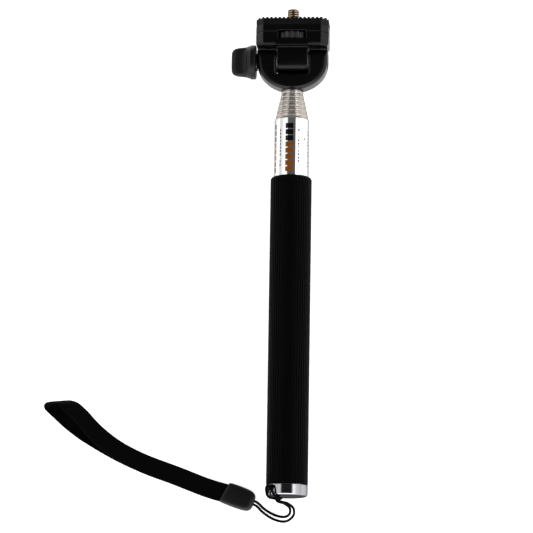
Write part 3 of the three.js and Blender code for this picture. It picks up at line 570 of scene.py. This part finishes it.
cord_path = smooth_path(one + [at_hole(4.4, -1.45, 0.0)] + other[::-1], per_span=9)
cord_length = path_length(cord_path)
print("cord", round(cord_length, 1), "mm long")


# %% Cord
def cord_surface():
    """A circle of the cord's radius, carried along its path; two slanting waves, multiplied, lift each strand
    of the braid."""
    side, up = carried_frames(cord_path)
    angle = full_turn(20)
    strands = 4.0 * angle[None, :]
    slant = 2.2 * run_along(cord_path)[:, None]
    braid = 0.04 * np.sin(strands + slant) * np.sin(strands - slant)
    radius = (CORD_R - 0.02 + braid)[..., None]
    return (
        cord_path[:, None, :]
        + radius * np.cos(angle)[None, :, None] * side[:, None, :]
        + radius * np.sin(angle)[None, :, None] * up[:, None, :]
    )


cord_uv = (2 * math.pi * CORD_R * MM, cord_length * MM)
cord_piece = surface("wrist_cord", cord_surface(), sharp=80.0, uv_size=cord_uv)
dressed(cord_piece, "handle", cord_braid.material, "webbing", "strap_cord")

# %% [markdown]
# The webbing loop
#
# A flat band that leaves the cap, runs out on the table, turns over at the far end and comes back on top of
# itself. Near the end the loop stands partly on its edge and opens. So the two runs share one spine; the
# spine's twist angle grows towards the end, and the gap between the runs opens with it. The fold itself is
# oblique: near the end each point slides back along the spine by a share of how far right of it the point is.

# %% Webbing
BAND = 10.0
BAND_THICK = 1.2
LOOP_TWIST = math.radians(38.0)
LOOP_OPENS = 9.6
FOLD_SKEW = 0.78


def webbing_path():
    """Out along the lower run, round the fold and back: the band's centre, the direction across it, and the
    spine's point, direction and skew there."""
    spine_points = [(-29.5, 1.4), (-36.0, 3.2), (-44.0, 5.7), (-60.0, 11.8), (-77.0, 18.0), (-92.0, 25.1),
                    (-104.0, 32.9), (-112.5, 39.9), (-120.1, 46.7)]
    flat = smooth_path([(x, y, 0.0) for x, y in spine_points], per_span=14)
    share = np.linspace(0.0, 1.0, len(flat))
    ease = np.clip((share - 0.5) / 0.42, 0.0, 1.0)
    ease = ease * ease * (3.0 - 2.0 * ease)
    twist = LOOP_TWIST * ease
    late = np.clip((share - 0.8) / 0.2, 0.0, 1.0)
    skew = FOLD_SKEW * late * late * (3.0 - 2.0 * late)
    gap = BAND_THICK + 0.25 + LOOP_OPENS * ease
    rise = np.clip((0.18 - share) / 0.12, 0.0, 1.0)
    along = unit(np.gradient(flat, axis=0))
    beside = np.cross(along, (0.0, 0.0, 1.0))
    up = np.array([0.0, 0.0, 1.0])
    normal = beside * np.sin(twist)[:, None] + up * np.cos(twist)[:, None]
    across = beside * np.cos(twist)[:, None] - up * np.sin(twist)[:, None]
    height = FLOOR + BAND_THICK / 2 + 0.15 + gap / 2 * np.cos(twist) + BAND / 2 * np.sin(twist)
    height = height + rise * (CAP_AT[2] - height)
    centre = flat + up * height[:, None]
    low = centre - normal * gap[:, None] / 2
    high = centre + normal * gap[:, None] / 2
    turn = np.linspace(0.0, np.pi, 15)[1:-1, None]
    radius = gap[-1] / 2
    fold = centre[-1] + along[-1] * radius * 0.9 * np.sin(turn) - normal[-1] * radius * np.cos(turn)
    path = np.vstack([low, fold, high[::-1]])

    def there_and_back(rows):
        return np.concatenate([rows, np.repeat(rows[-1:], len(fold), axis=0), rows[::-1]])

    return path, *(there_and_back(rows) for rows in (across, centre, along, skew))


def webbing_surface():
    """A rounded rectangle carried along the path with its long side across it. Its width is the fifth root of
    the cosine of an angle and its thickness the square root of the sine. Then it is sheared by the skew."""
    path, width, spine, forward, skew = webbing_path()
    along = unit(np.gradient(path, axis=0))
    width = unit(width - along * np.einsum("ij,ij->i", width, along)[:, None])
    thick = np.cross(width, along)
    c, s = np.cos(full_turn(40)), np.sin(full_turn(40))
    w = BAND / 2 * np.sign(c) * np.abs(c) ** (1 / 5)
    t = BAND_THICK / 2 * np.sign(s) * np.abs(s) ** (1 / 2)
    grid = path[:, None, :] + w[None, :, None] * width[:, None, :] + t[None, :, None] * thick[:, None, :]
    beside = np.cross(forward, (0.0, 0.0, 1.0))
    rightwards = np.einsum("ijk,ik->ij", grid - spine[:, None, :], beside)
    grid = grid - forward[:, None, :] * (skew[:, None] * rightwards)[..., None]
    return grid, path_length(path)


band_grid, band_length = webbing_surface()
webbing_piece = surface("wrist_webbing", band_grid, sharp=60.0, uv_size=(2 * BAND * MM, band_length * MM))
dressed(webbing_piece, "handle", webbing_cloth.material, "webbing", "strap_webbing")
print("webbing", round(band_length, 1), "mm long")

# %% [markdown]
# The strap cap
#
# A small moulded socket that holds both ends of the webbing and both ends of the cord. Its surface is one
# grid from the bottom of the webbing's pocket, out over the mouth, along the outside, over the nose and into
# the cord's hole. Each ring is a superellipse whose two half sizes and power change along the way.

# %% Strap cap
def superellipse(a, b, power, sides):
    """Points where |x/a|^power + |y/b|^power is one, at evenly spaced angles."""
    c, s = np.cos(full_turn(sides)), np.sin(full_turn(sides))
    return a * np.sign(c) * np.abs(c) ** (2 / power), b * np.sign(s) * np.abs(s) ** (2 / power)


MOUTH_SLANT = 0.16


def strap_cap_surface():
    """Rings of (distance along, half width, half height, power) from inside one pocket to inside the other.
    The mouth's end is cut slantwise: its rings lean by a share of the distance across."""
    rings = [
        (-3.0, 0.3, 0.2, 4.0), (-3.0, 5.2, 1.75, 6.0), (-7.6, 5.25, 1.8, 6.0), (-8.05, 5.35, 2.0, 5.0),
        (-8.1, 5.5, 2.3, 4.5), (-7.8, 5.7, 2.75, 4.0), (-6.9, 5.85, 2.95, 3.8), (-5.0, 5.95, 3.1, 3.7),
        (-2.0, 6.0, 3.22, 3.6), (2.0, 5.95, 3.25, 3.4), (5.0, 5.75, 3.15, 3.2), (6.8, 5.2, 2.85, 3.0),
        (7.8, 4.4, 2.4, 2.8), (8.3, 3.5, 2.0, 2.6), (8.5, 2.7, 1.6, 2.5), (8.45, 2.1, 1.25, 3.0),
        (8.1, 1.85, 1.05, 3.0), (4.6, 1.8, 1.0, 3.0), (4.6, 0.2, 0.1, 3.0),
    ]
    grid = np.empty((len(rings), 64, 3))
    for k, (along, half_width, half_height, power) in enumerate(rings):
        across, up = superellipse(half_width, half_height, power, 64)
        leaning = min(max((-along - 2.0) / 5.0, 0.0), 1.0)
        grid[k] = at_strap_cap(along + MOUTH_SLANT * across * leaning, across, up)
    return grid


strap_cap_piece = surface("wrist_strap_cap", strap_cap_surface(), sharp=50.0)
dressed(strap_cap_piece, "handle", cap_plastic.material, "black_plastic", "strap_cap")
soften = strap_cap_piece.modifiers.new("soften", "SUBSURF")
soften.levels = soften.render_levels = 1

# %% [markdown]
# The grip
#
# A rubber sleeve with 48 fine ribs. The radius is a function of two numbers: the angle makes the ribs, by a
# wave with flat tops, and the height rounds the upper shoulder and shuts the ribs off near the top.

# %% Grip
RIBS = 48
RIB_DEPTH = 0.36
SHOULDER = 1.6
SLEEVE_BORE = 9.52


def grip_surface():
    """Radius = grip radius less the rib wave times its fade, less the shoulder's rounding; inside it is the
    tube's radius."""
    angle = full_turn(RIBS * 14)
    wave = 0.5 - 0.5 * np.cos(RIBS * angle)
    groove = RIB_DEPTH * np.clip(wave * 1.7 - 0.7, 0.0, 1.0) ** 0.8
    foot, top = GRIP_LOW[1], GRIP_HIGH[1]
    shoulder = np.array(arc(0.0, 0.0, SHOULDER, 0.0, 90.0, 9))
    foot_rows = foot + np.array([0.05, 0.2, 0.5, 1.2])
    middle_rows = np.linspace(foot + 3, top - 4, 24)
    heights = np.concatenate([foot_rows, middle_rows, top - SHOULDER + shoulder[:, 1]])
    inward = np.concatenate([[0.3, 0.12, 0.02], np.zeros(25), SHOULDER - shoulder[:, 0]])
    fade = np.clip((top - 0.3 - heights) / 1.8, 0.0, 1.0)
    radius = GRIP_R - inward[:, None] - groove[None, :] * fade[:, None]
    radius = np.vstack([radius, np.full((2, len(angle)), SLEEVE_BORE)])
    heights = np.concatenate([heights, [top, foot + 0.05]])
    return around_pole(radius, heights, angle)


grip_piece = surface("ribbed_grip", grip_surface(), closed_rows=True, sharp=50.0)
dressed(grip_piece, "handle", grip_rubber.material, "rubber", "grip_sleeve")
print("grip", len(grip_piece.data.polygons), "faces")

# %% [markdown]
# The nested tubes
#
# Each tube is turned: a profile of radius and height spun about the pole. Its mouth is pressed in to meet the
# next tube, with a small rounded lip. All six are full length, because they slide out.

# %% Outer tube, sections and rod
def measured(node):
    """A turned node's radius, foot and top."""
    low, high = corners(node)
    return high[2], low[1], high[1]


NEST = [measured(name) for name in ["outer_tube"] + [f"tube_{k}" for k in range(2, 7)] + ["top_rod"]]
WALL = 0.3
MOUTH_GAP = 0.1
SWAGE = 3.1
OUTER_WALL = 0.5
MOUTH = 1.8
TAPER = 0.7


def tube_profile(radius, wall, bottom, top, next_radius, mouth):
    """Up the outside, into a shallow groove, over a bead with a rounded lip and down the inside."""
    bore = next_radius + MOUTH_GAP
    lip = bore + WALL
    shoulder = top - mouth + 0.05
    groove = [(radius, shoulder), (radius - 0.05, shoulder + 0.08), (lip - 0.13, top - 1.3)]
    groove += [(lip - 0.15, top - 1.15)]
    bead = [(lip - 0.03, top - 1.05), (lip, top - 0.9)] + arc(lip - 0.28, top - 0.4, 0.28, 0.0, 35.0, 4)
    edge = arc(lip - 0.28, top - 0.4, 0.28, 45.0, 75.0, 3) + [(bore + 0.04, top - 0.02), (bore + 0.02, top)]
    inside = [(bore, top - 0.1), (bore, top - mouth), (radius - wall, top - mouth - TAPER)]
    inside += [(radius - wall, bottom)]
    return [(radius, bottom)] + groove + bead + edge + inside


def tube_piece(number):
    """One tube of the nest; number 1 is the outer tube."""
    radius, bottom, top = NEST[number - 1]
    first = number == 1
    wall, mouth = (OUTER_WALL, SWAGE) if first else (WALL, MOUTH)
    profile = tube_profile(radius, wall, bottom, top, NEST[number][0], mouth)
    return turned(f"tube_{number}_turned", profile, sides=160, closed=True, sharp=50.0)


outer = tube_piece(1)
dressed(outer, "handle", mirror_steel.material, "polished_steel", "outer_tube")
outer.data.materials.append(drawn_steel.material)
middles = np.empty(len(outer.data.polygons) * 3)
outer.data.polygons.foreach_get("center", middles)
swaged = middles.reshape(-1, 3)[:, 1] > (NEST[0][2] - SWAGE) * MM
outer.data.polygons.foreach_set("material_index", swaged.astype(np.int32))
for number in range(2, 7):
    dressed(tube_piece(number), f"section_{number}", drawn_steel.material, "polished_steel", f"tube_{number}")

_, rod_bottom, rod_top = NEST[6]
BEAD = 0.2
BEAD_LENGTH = 1.0
ROD_WALL = 0.5
ROD_R = NEST[6][0] - BEAD
ROD_BORE = ROD_R - ROD_WALL
bead = corners("collar_7")[1][1] + 0.2
rod_profile = [(ROD_R, rod_bottom), (ROD_R, bead)]
for t in np.linspace(0.3, 2.84, 7):
    rod_profile.append((ROD_R + BEAD * math.sin(t), bead + BEAD_LENGTH * t / math.pi))
rod_profile += [(ROD_R, bead + BEAD_LENGTH), (ROD_R, rod_top), (ROD_BORE, rod_top), (ROD_BORE, rod_bottom)]
rod = turned("top_rod_turned", rod_profile, sides=128, closed=True, sharp=50.0)
dressed(rod, "head", drawn_steel.material, "polished_steel", "top_rod")

# %% [markdown]
# The end cap
#
# A turned aluminium cap with a soft chamfer, and the lanyard hole drilled slantwise through its corner. The
# hole is cut with a Boolean modifier, applied at once so that the finished piece is plain mesh.

# %% End cap
def applied(piece):
    """The same piece with its modifiers made final."""
    graph = bpy.context.evaluated_depsgraph_get()
    mesh = bpy.data.meshes.new_from_object(piece.evaluated_get(graph))
    piece.modifiers.clear()
    old = piece.data
    piece.data = mesh
    mesh.name = piece.name
    bpy.data.meshes.remove(old)
    return piece


def lanyard_drill():
    """A slot section, two half circles joined, carried straight along the slant of the hole."""
    start, stop = at_hole(6.8, 0.0, 0.0), at_hole(11.05, 4.0, 0.0)
    way = unit(stop - start)
    rise = np.cross(way, ROUND)
    r = CORD_R + 0.4
    a = np.linspace(-np.pi / 2, np.pi / 2, 12)
    across = np.concatenate([HALF + r * np.cos(a), -HALF - r * np.cos(a)])
    over = np.concatenate([r * np.sin(a), -r * np.sin(a)])
    ring = across[:, None] * ROUND + over[:, None] * rise
    middle = (start + stop) / 2
    return np.stack([middle - way * 6.0 + ring, middle + way * 6.0 + ring])


CAP_TOP = GRIP_LOW[1]
ROUNDING = 1.2
SPIGOT_R = 5.0
SPIGOT_TOP = 12.0
cap_profile = [(0.01, 0.0), (9.6, 0.0)]
cap_profile += arc(GRIP_R - ROUNDING, ROUNDING, ROUNDING, 270.0, 360.0, 10)
cap_profile += [(GRIP_R, CAP_TOP - 0.25), (GRIP_R - 0.15, CAP_TOP - 0.1), (GRIP_R - 0.2, CAP_TOP)]
cap_profile += [(SPIGOT_R, CAP_TOP), (SPIGOT_R, SPIGOT_TOP), (0.01, SPIGOT_TOP)]
end_cap = turned("end_cap_turned", cap_profile, sides=160, sharp=40.0)
drill = surface("drill", lanyard_drill())
cutter = end_cap.modifiers.new("lanyard_hole", "BOOLEAN")
cutter.object = drill
cutter.solver = "EXACT"
applied(end_cap)
bpy.data.objects.remove(drill)
end_cap.data.set_sharp_from_angle(angle=math.radians(40.0))
dressed(end_cap, "handle", satin_aluminium.material, "aluminium", "end_cap")
# Painted dark reflection: faces that look straight down the pole, the butt face, get the near-black copy of
# the aluminium.
end_cap.data.materials.append(painted_dark_butt_face.material)
normals = np.empty(len(end_cap.data.polygons) * 3)
end_cap.data.polygons.foreach_get("normal", normals)
end_cap.data.polygons.foreach_set("material_index", (normals[1::3] < -0.95).astype(np.int32))

# %% [markdown]
# The head's mouldings
#
# The fork and the two halves of the platform are the measured shapes, which are right, but their edges are
# knife sharp. Moulded plastic never is. So a copy is rebuilt from small cubes and relaxed, which rounds each
# edge by a few tenths of a millimetre and leaves the flats alone. The platform's lower edge also gets a
# chamfer, drawn in between those two steps.

# %% Mouldings from the measured shapes
def relaxed_copy(name, node, voxel, rounds, shape=None):
    """A merged copy of a node, remeshed in cubes of that size in millimetres, reshaped by the function if one
    is given, and smoothed that many times."""
    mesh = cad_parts[node].data.copy()
    work = bmesh.new()
    work.from_mesh(mesh)
    bmesh.ops.remove_doubles(work, verts=work.verts, dist=1e-6)
    work.to_mesh(mesh)
    work.free()
    mesh.name = name
    piece = bpy.data.objects.new(name, mesh)
    bpy.context.scene.collection.objects.link(piece)
    rebuild = piece.modifiers.new("rebuild", "REMESH")
    rebuild.mode = "VOXEL"
    rebuild.voxel_size = voxel * MM
    applied(piece)
    if shape:
        shape(piece)
    relax = piece.modifiers.new("relax", "SMOOTH")
    relax.factor = 0.5
    relax.iterations = rounds
    applied(piece)
    piece.data.shade_smooth()
    print(name, len(piece.data.polygons), "faces")
    return piece


PLATFORM_LOW = np.array([0.0, corners("fork")[1][1] + 0.2, 0.0])
PLATFORM_HIGH = corners("platform_cover")[1]
PLATFORM_CORNER = 4.0
TONGUE_HALF = corners("friction_disc_right")[0][0]
CHAMFER = 1.5
CHAMFER_SLOPE = 0.6


def break_lower_edge(piece):
    """Draws points near the platform's bottom in, by a share of what they are short of the chamfer's height
    above it: a chamfer round the eight sides, which fades out towards the tongue."""
    mesh = piece.data
    points = np.empty(len(mesh.vertices) * 3)
    mesh.vertices.foreach_get("co", points)
    points = points.reshape(-1, 3) / MM
    x, y, z = points.T
    short = CHAMFER_SLOPE * np.clip(CHAMFER - (y - PLATFORM_LOW[1]), 0.0, CHAMFER)
    short = short * np.clip((np.abs(x) - TONGUE_HALF - 0.6) / 0.8, 0.0, 1.0)
    near = y > PLATFORM_LOW[1] - 0.2
    for axis, reach in ((0, PLATFORM_HIGH[0]), (2, PLATFORM_HIGH[2])):
        inside = np.clip(points[:, axis], -reach + short, reach - short)
        points[:, axis] = np.where(near, inside, points[:, axis])
    slant = PLATFORM_HIGH[0] + PLATFORM_HIGH[2] - PLATFORM_CORNER - short * math.sqrt(2.0)
    over = np.clip(np.abs(x) + np.abs(z) - slant, 0.0, None) * near / 2
    points[:, 0] -= np.sign(points[:, 0]) * over
    points[:, 2] -= np.sign(points[:, 2]) * over
    mesh.vertices.foreach_set("co", (points * MM).reshape(-1))
    mesh.update()


fork = relaxed_copy("fork_moulding", "fork", 0.26, 5)
dressed(fork, "head", satin_plastic.material, "black_plastic", "fork")
platform_lower = relaxed_copy("platform_moulding", "platform_body", 0.28, 4, break_lower_edge)
dressed(platform_lower, "platform", satin_plastic.material, "black_plastic", "platform_body")
platform_upper = relaxed_copy("platform_cover_moulding", "platform_cover", 0.28, 3)
dressed(platform_upper, "platform", satin_plastic.material, "black_plastic", "platform_cover")

# %% [markdown]
# The rubber pad
#
# It has the platform's eight-sided outline, a diamond pattern round its side and fine teeth across its top,
# with a hole for the screw. The grid goes round the outline in one direction, and in the other up the side,
# across the top to the hole, down it and back underneath.

# %% Pad
PAD_LOW, PAD_HIGH = corners("rubber_pad")[0][1], corners("rubber_pad")[1][1]
TEETH_PITCH = 2.24
TOOTH = 1.2
TOOTHED = 1.4  # how far down the side the teeth reach
PAD_HOLE_R = 4.2
DIAMOND = 0.32


def octagon_outline(half_x, half_z, corner, count):
    """Evenly spaced points round an eight-sided outline, and their distance along it."""
    c = np.array([
        (-half_x + corner, -half_z), (half_x - corner, -half_z), (half_x, -half_z + corner),
        (half_x, half_z - corner), (half_x - corner, half_z), (-half_x + corner, half_z),
        (-half_x, half_z - corner), (-half_x, -half_z + corner), (-half_x + corner, -half_z),
    ])
    run = run_along(c)
    s = np.linspace(0.0, run[-1], count, endpoint=False)
    return np.stack([np.interp(s, run, c[:, 0]), np.interp(s, run, c[:, 1])], axis=-1), s, run[-1]


def pad_surface(count=760):
    """Side: outline pushed out by two crossing waves, the diamonds. Top: the outline drawn in towards the
    hole, lowered by a wave across the pad, the teeth."""
    plan, s, around = octagon_outline(PLATFORM_HIGH[0], PLATFORM_HIGH[2], PLATFORM_CORNER, count)
    pitch = around / round(around / TEETH_PITCH)
    heights = np.linspace(PAD_LOW, PAD_HIGH, 15)
    climb = heights[:, None] / TEETH_PITCH
    waves = np.sin(np.pi * (s[None, :] / pitch + climb)) * np.sin(np.pi * (s[None, :] / pitch - climb))
    edge = np.minimum(heights - PAD_LOW, PAD_HIGH - heights)
    fade = np.clip(edge / 0.6, 0.0, 1.0)
    proud = DIAMOND * (np.abs(waves) - 0.5) * fade[:, None] - 0.15
    outward = unit(plan - plan * np.array([0.55, 0.2]))
    side_xz = plan[None] + outward[None] * proud[..., None]
    shares = np.concatenate([np.linspace(0.01, 0.97, 26), [1.0]])
    length = np.linalg.norm(plan, axis=1, keepdims=True)
    hole = plan / length * PAD_HOLE_R
    rim = side_xz[-1]
    top_xz = rim[None] * (1 - shares[:, None, None]) + hole[None] * shares[:, None, None]

    def teeth(x):
        return TOOTH * np.clip(0.5 * np.cos(2 * np.pi * x / TEETH_PITCH) - 0.2, -0.7, 0.0)

    top_y = PAD_HIGH + teeth(top_xz[..., 0])
    reach = np.clip((heights - PAD_HIGH + TOOTHED) / TOOTHED, 0.0, 1.0)
    side_y = heights[:, None] + teeth(side_xz[..., 0]) * reach[:, None]
    rows_xz = np.concatenate([side_xz, top_xz, hole[None], hole[None]])
    rows_y = np.concatenate([side_y, top_y, np.full((1, count), PAD_LOW + 0.4), np.full((1, count), PAD_LOW)])
    return np.stack([rows_xz[..., 0], rows_y, rows_xz[..., 1]], axis=-1)


pad = surface("rubber_pad_ribbed", pad_surface(), closed_rows=True, sharp=55.0)
dressed(pad, "platform", pad_rubber.material, "rubber", "rubber_pad")
print("pad", len(pad.data.polygons), "faces")

# %% [markdown]
# The thumb wheel and the camera screw
#
# The wheel's radius is a wave with 21 flat-topped ridges. The screw is a true helix: its radius depends on
# the height less the angle's share of one pitch, so that the groove climbs by one pitch each turn.

# %% Thumb wheel
WHEEL_LOW, WHEEL_HIGH = corners("thumb_wheel")
SCREW_LOW, SCREW_HIGH = corners("camera_screw")
SCREW_R = SCREW_HIGH[0]
RIDGES = 21
RIDGE_DEPTH = 0.85


def wheel_surface():
    """Radius = outside radius less the valleys between ridges, drawn in at both rims, with a bore for the
    screw."""
    angle = full_turn(RIDGES * 16)
    valley = RIDGE_DEPTH * np.clip(0.5 - 0.9 * np.cos(RIDGES * angle), 0.0, 1.0)
    foot, top = WHEEL_LOW[1], WHEEL_HIGH[1]
    heights = foot + np.array([0.0, 0.02, 0.2, 0.55, 1.95])
    heights = np.concatenate([heights, foot + top - heights[3::-1], [top, foot]])
    inward = np.array([0.55, 0.35, 0.1, 0.0, 0.0, 0.0, 0.1, 0.35, 0.55])
    radius = WHEEL_HIGH[0] - inward[:, None] - valley[None, :]
    radius = np.vstack([radius, np.full((2, len(angle)), SCREW_R + 0.025)])
    return around_pole(radius, heights, angle)


wheel = surface("thumb_wheel_ridged", wheel_surface(), closed_rows=True, sharp=45.0)
dressed(wheel, "wheel_body", wheel_plastic.material, "knob_plastic", "thumb_wheel")


# %% Camera screw
PITCH = 1.27
THREAD_DEPTH = 0.75


def screw_surface():
    """Radius = the outside radius less a rounded V in the place within one pitch, fading out at both ends."""
    angle = full_turn(48)
    foot, tip = SCREW_LOW[1], SCREW_HIGH[1]
    start = PAD_HIGH - 1.4
    heights = np.concatenate([[foot, start - 0.2], np.linspace(start, tip - 0.1, 120), [tip]])
    place = (heights[:, None] / PITCH - angle[None, :] / (2 * np.pi)) % 1.0
    vee = np.clip(1.7 * (1.0 - np.abs(2.0 * place - 1.0)) - 0.7, 0.0, 1.0)
    fade = np.clip((heights - start) / 0.8, 0.0, 1.0)
    taper = 0.35 * np.clip((heights - tip + 0.4) / 0.4, 0.0, 1.0)
    radius = SCREW_R - THREAD_DEPTH * vee * fade[:, None] - taper[:, None]
    grid = around_pole(radius, heights, angle)
    point = grid[-1:] * np.array([0.02, 1.0, 0.02])
    return np.concatenate([grid, point])


screw = surface("camera_screw_threaded", screw_surface(), sharp=60.0)
dressed(screw, "wheel_body", turned_brass.material, "brass", "camera_screw")

# %% [markdown]
# The clamp knob
#
# A wing with a round flange. Rings stand across the tilt axis, and each is a superellipse: round at the
# flange, and long and narrow in the wing. A short fillet joins them, and the wing's tip is rounded off.

# %% Knob
KNOB_LOW, KNOB_HIGH = corners("knob")
TILT_Y = (KNOB_LOW[1] + KNOB_HIGH[1]) / 2


def knob_surface():
    """Rings of (distance out along -X, half height, half thickness, power), from the flange's face out to the
    wing's tip."""
    rings = [
        (19.95, 8.6, 8.6, 2.0), (19.97, 8.9, 8.9, 2.0), (20.15, 9.2, 9.2, 2.0), (20.5, 9.3, 9.3, 2.0),
        (22.6, 9.3, 9.3, 2.0), (22.85, 9.2, 9.2, 2.0), (23.0, 8.85, 8.85, 2.0), (23.5, 8.75, 8.7, 2.0),
        (24.0, 8.7, 8.4, 2.05), (24.3, 8.62, 7.4, 2.1), (24.5, 8.5, 6.2, 2.2), (24.8, 8.42, 5.1, 2.4),
        (25.3, 8.3, 4.2, 2.7), (26.0, 8.18, 3.6, 3.1), (27.0, 8.05, 3.2, 3.6), (28.5, 7.9, 3.0, 4.0),
        (30.0, 7.72, 2.85, 4.0), (31.2, 7.45, 2.7, 3.8), (32.2, 6.9, 2.4, 3.5), (32.9, 6.1, 1.9, 3.2),
        (33.25, 5.1, 1.3, 3.0), (33.35, 3.8, 0.6, 2.6), (33.35, 0.2, 0.05, 2.0),
    ]
    grid = np.empty((len(rings), 96, 3))
    for k, (out, half_height, half_thick, power) in enumerate(rings):
        z, y = superellipse(half_thick, half_height, power, 96)
        grid[k, :, 0] = -out
        grid[k, :, 1] = TILT_Y + y
        grid[k, :, 2] = z
    return grid


knob = surface("clamp_knob_wing", knob_surface(), sharp=45.0)
dressed(knob, "knob_body", knob_plastic.material, "knob_plastic", "knob")
rounding = knob.modifiers.new("rounding", "SUBSURF")
rounding.levels = rounding.render_levels = 1

# %% [markdown]
# Small hardware
#
# Pieces whose measured shape is right keep it and only get a finish: the nut, bolt, washers, screws, friction
# discs and the collars and plugs inside the tubes.

# %% Finishes on the measured pieces
HARDWARE = {
    blackened_steel: ["head_screw", "clamp_nut", "clamp_bolt", "knob_washer"]
    + [f"cover_screw_{k}" for k in range(1, 5)],
    natural_nylon: ["tube_plug", "friction_disc_left", "friction_disc_right"]
    + [f"collar_{k}" for k in range(2, 8)],
    turned_brass: ["rod_insert", "rod_stop"],
}
for finish, names in HARDWARE.items():
    for name in names:
        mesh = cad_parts[name].data
        mesh.materials.clear()
        mesh.materials.append(finish.material)
print("measured pieces dressed:", sum(len(names) for names in HARDWARE.values()))

# %% [markdown]
# Table and light
#
# The table is plain and pale, and glows a little, as a light table does, so that shadows stay faint. The
# light is a white room with a dark strip overhead that runs along the pole. Polished tubes show the strip as
# a band down their middle, between two white sides, and the black plastic that faces it stays black.

# %% Table and light
table_mesh = bpy.data.meshes.new("table")
TABLE_HALF = 2.5
ends = ((-1, -1), (1, -1), (1, 1), (-1, 1))
table_corners = [(TABLE_HALF * x, TABLE_HALF * y, FLOOR * MM) for x, y in ends]
table_mesh.from_pydata(table_corners, [], [(0, 1, 2, 3)])
table = bpy.data.objects.new("table", table_mesh)
bpy.context.scene.collection.objects.link(table)
paper = Finish("table_paper", (0.9, 0.9, 0.9), 0.9, Emission_Strength=0.75)
paper.shader.inputs["Emission Color"].default_value = (1.0, 1.0, 1.0, 1.0)
paper.feed("Roughness", paper.spread(paper.noise(paper.place(), 40.0), 0.85, 0.95))
table_mesh.materials.append(paper.material)


# %% Room
# Brightness by the angle about the pole's length, in degrees from straight up, positive to the right.
ROOM = [
    (-120.0, 0.5), (-90.0, 0.65), (-68.0, 1.1), (-42.0, 1.7), (-32.0, 1.4), (-26.0, 0.03),
    (30.0, 0.03), (35.0, 1.5), (40.0, 3.0), (47.0, 2.6), (56.0, 1.8), (80.0, 1.4), (120.0, 0.8),
]
BRIGHTEST = 3.0
BUTT_END = 4.0
HEAD_END = 0.15


def lit_room():
    """The brightness above looked up for each direction, and blended towards the light of each end: bright at
    the butt, dark beyond the head, which draws a dark line along every lip that faces that way."""
    world = bpy.data.worlds.new("room")
    world.use_nodes = True
    tree = world.node_tree
    tree.nodes.clear()

    def add(kind, **settings):
        node = tree.nodes.new(kind)
        for name, value in settings.items():
            setattr(node, name, value)
        return node

    where = add("ShaderNodeTexCoord")
    parts = add("ShaderNodeSeparateXYZ")
    angle = add("ShaderNodeMath", operation="ARCTAN2")
    share = add("ShaderNodeMath", operation="MULTIPLY_ADD")
    share.inputs[1].default_value = 0.5 / math.pi
    share.inputs[2].default_value = 0.5
    ramp = add("ShaderNodeValToRGB")
    stops = ramp.color_ramp.elements
    for k, (degrees, level) in enumerate(ROOM):
        place = degrees / 360.0 + 0.5
        stop = stops[k] if k < 2 else stops.new(place)
        stop.position = place
        stop.color = (level / BRIGHTEST,) * 3 + (1.0,)
    off = add("ShaderNodeMath", operation="ABSOLUTE")
    towards_ends = add("ShaderNodeMapRange", interpolation_type="SMOOTHSTEP")
    towards_ends.inputs["From Min"].default_value = math.sin(math.radians(40.0))
    towards_ends.inputs["From Max"].default_value = math.sin(math.radians(60.0))
    blend = add("ShaderNodeMix", data_type="RGBA")
    sockets = [socket for socket in blend.inputs if socket.type == "RGBA"]
    ends = add("ShaderNodeMapRange")
    ends.inputs["From Min"].default_value = -0.5
    ends.inputs["From Max"].default_value = 0.5
    ends.inputs["To Min"].default_value = BUTT_END / BRIGHTEST
    ends.inputs["To Max"].default_value = HEAD_END / BRIGHTEST
    background = add("ShaderNodeBackground")
    background.inputs["Strength"].default_value = BRIGHTEST
    out = add("ShaderNodeOutputWorld")
    result = next(socket for socket in blend.outputs if socket.type == "RGBA")
    for source, target in (
        (where.outputs["Generated"], parts.inputs[0]),
        (parts.outputs[0], angle.inputs[0]),
        (parts.outputs[2], angle.inputs[1]),
        (angle.outputs[0], share.inputs[0]),
        (share.outputs[0], ramp.inputs[0]),
        (parts.outputs[1], off.inputs[0]),
        (off.outputs[0], towards_ends.inputs["Value"]),
        (towards_ends.outputs[0], blend.inputs[0]),
        (ramp.outputs[0], sockets[0]),
        (parts.outputs[1], ends.inputs["Value"]),
        (ends.outputs[0], sockets[1]),
        (result, background.inputs["Color"]),
        (background.outputs[0], out.inputs[0]),
    ):
        tree.links.new(source, target)
    return world


bpy.context.scene.world = lit_room()
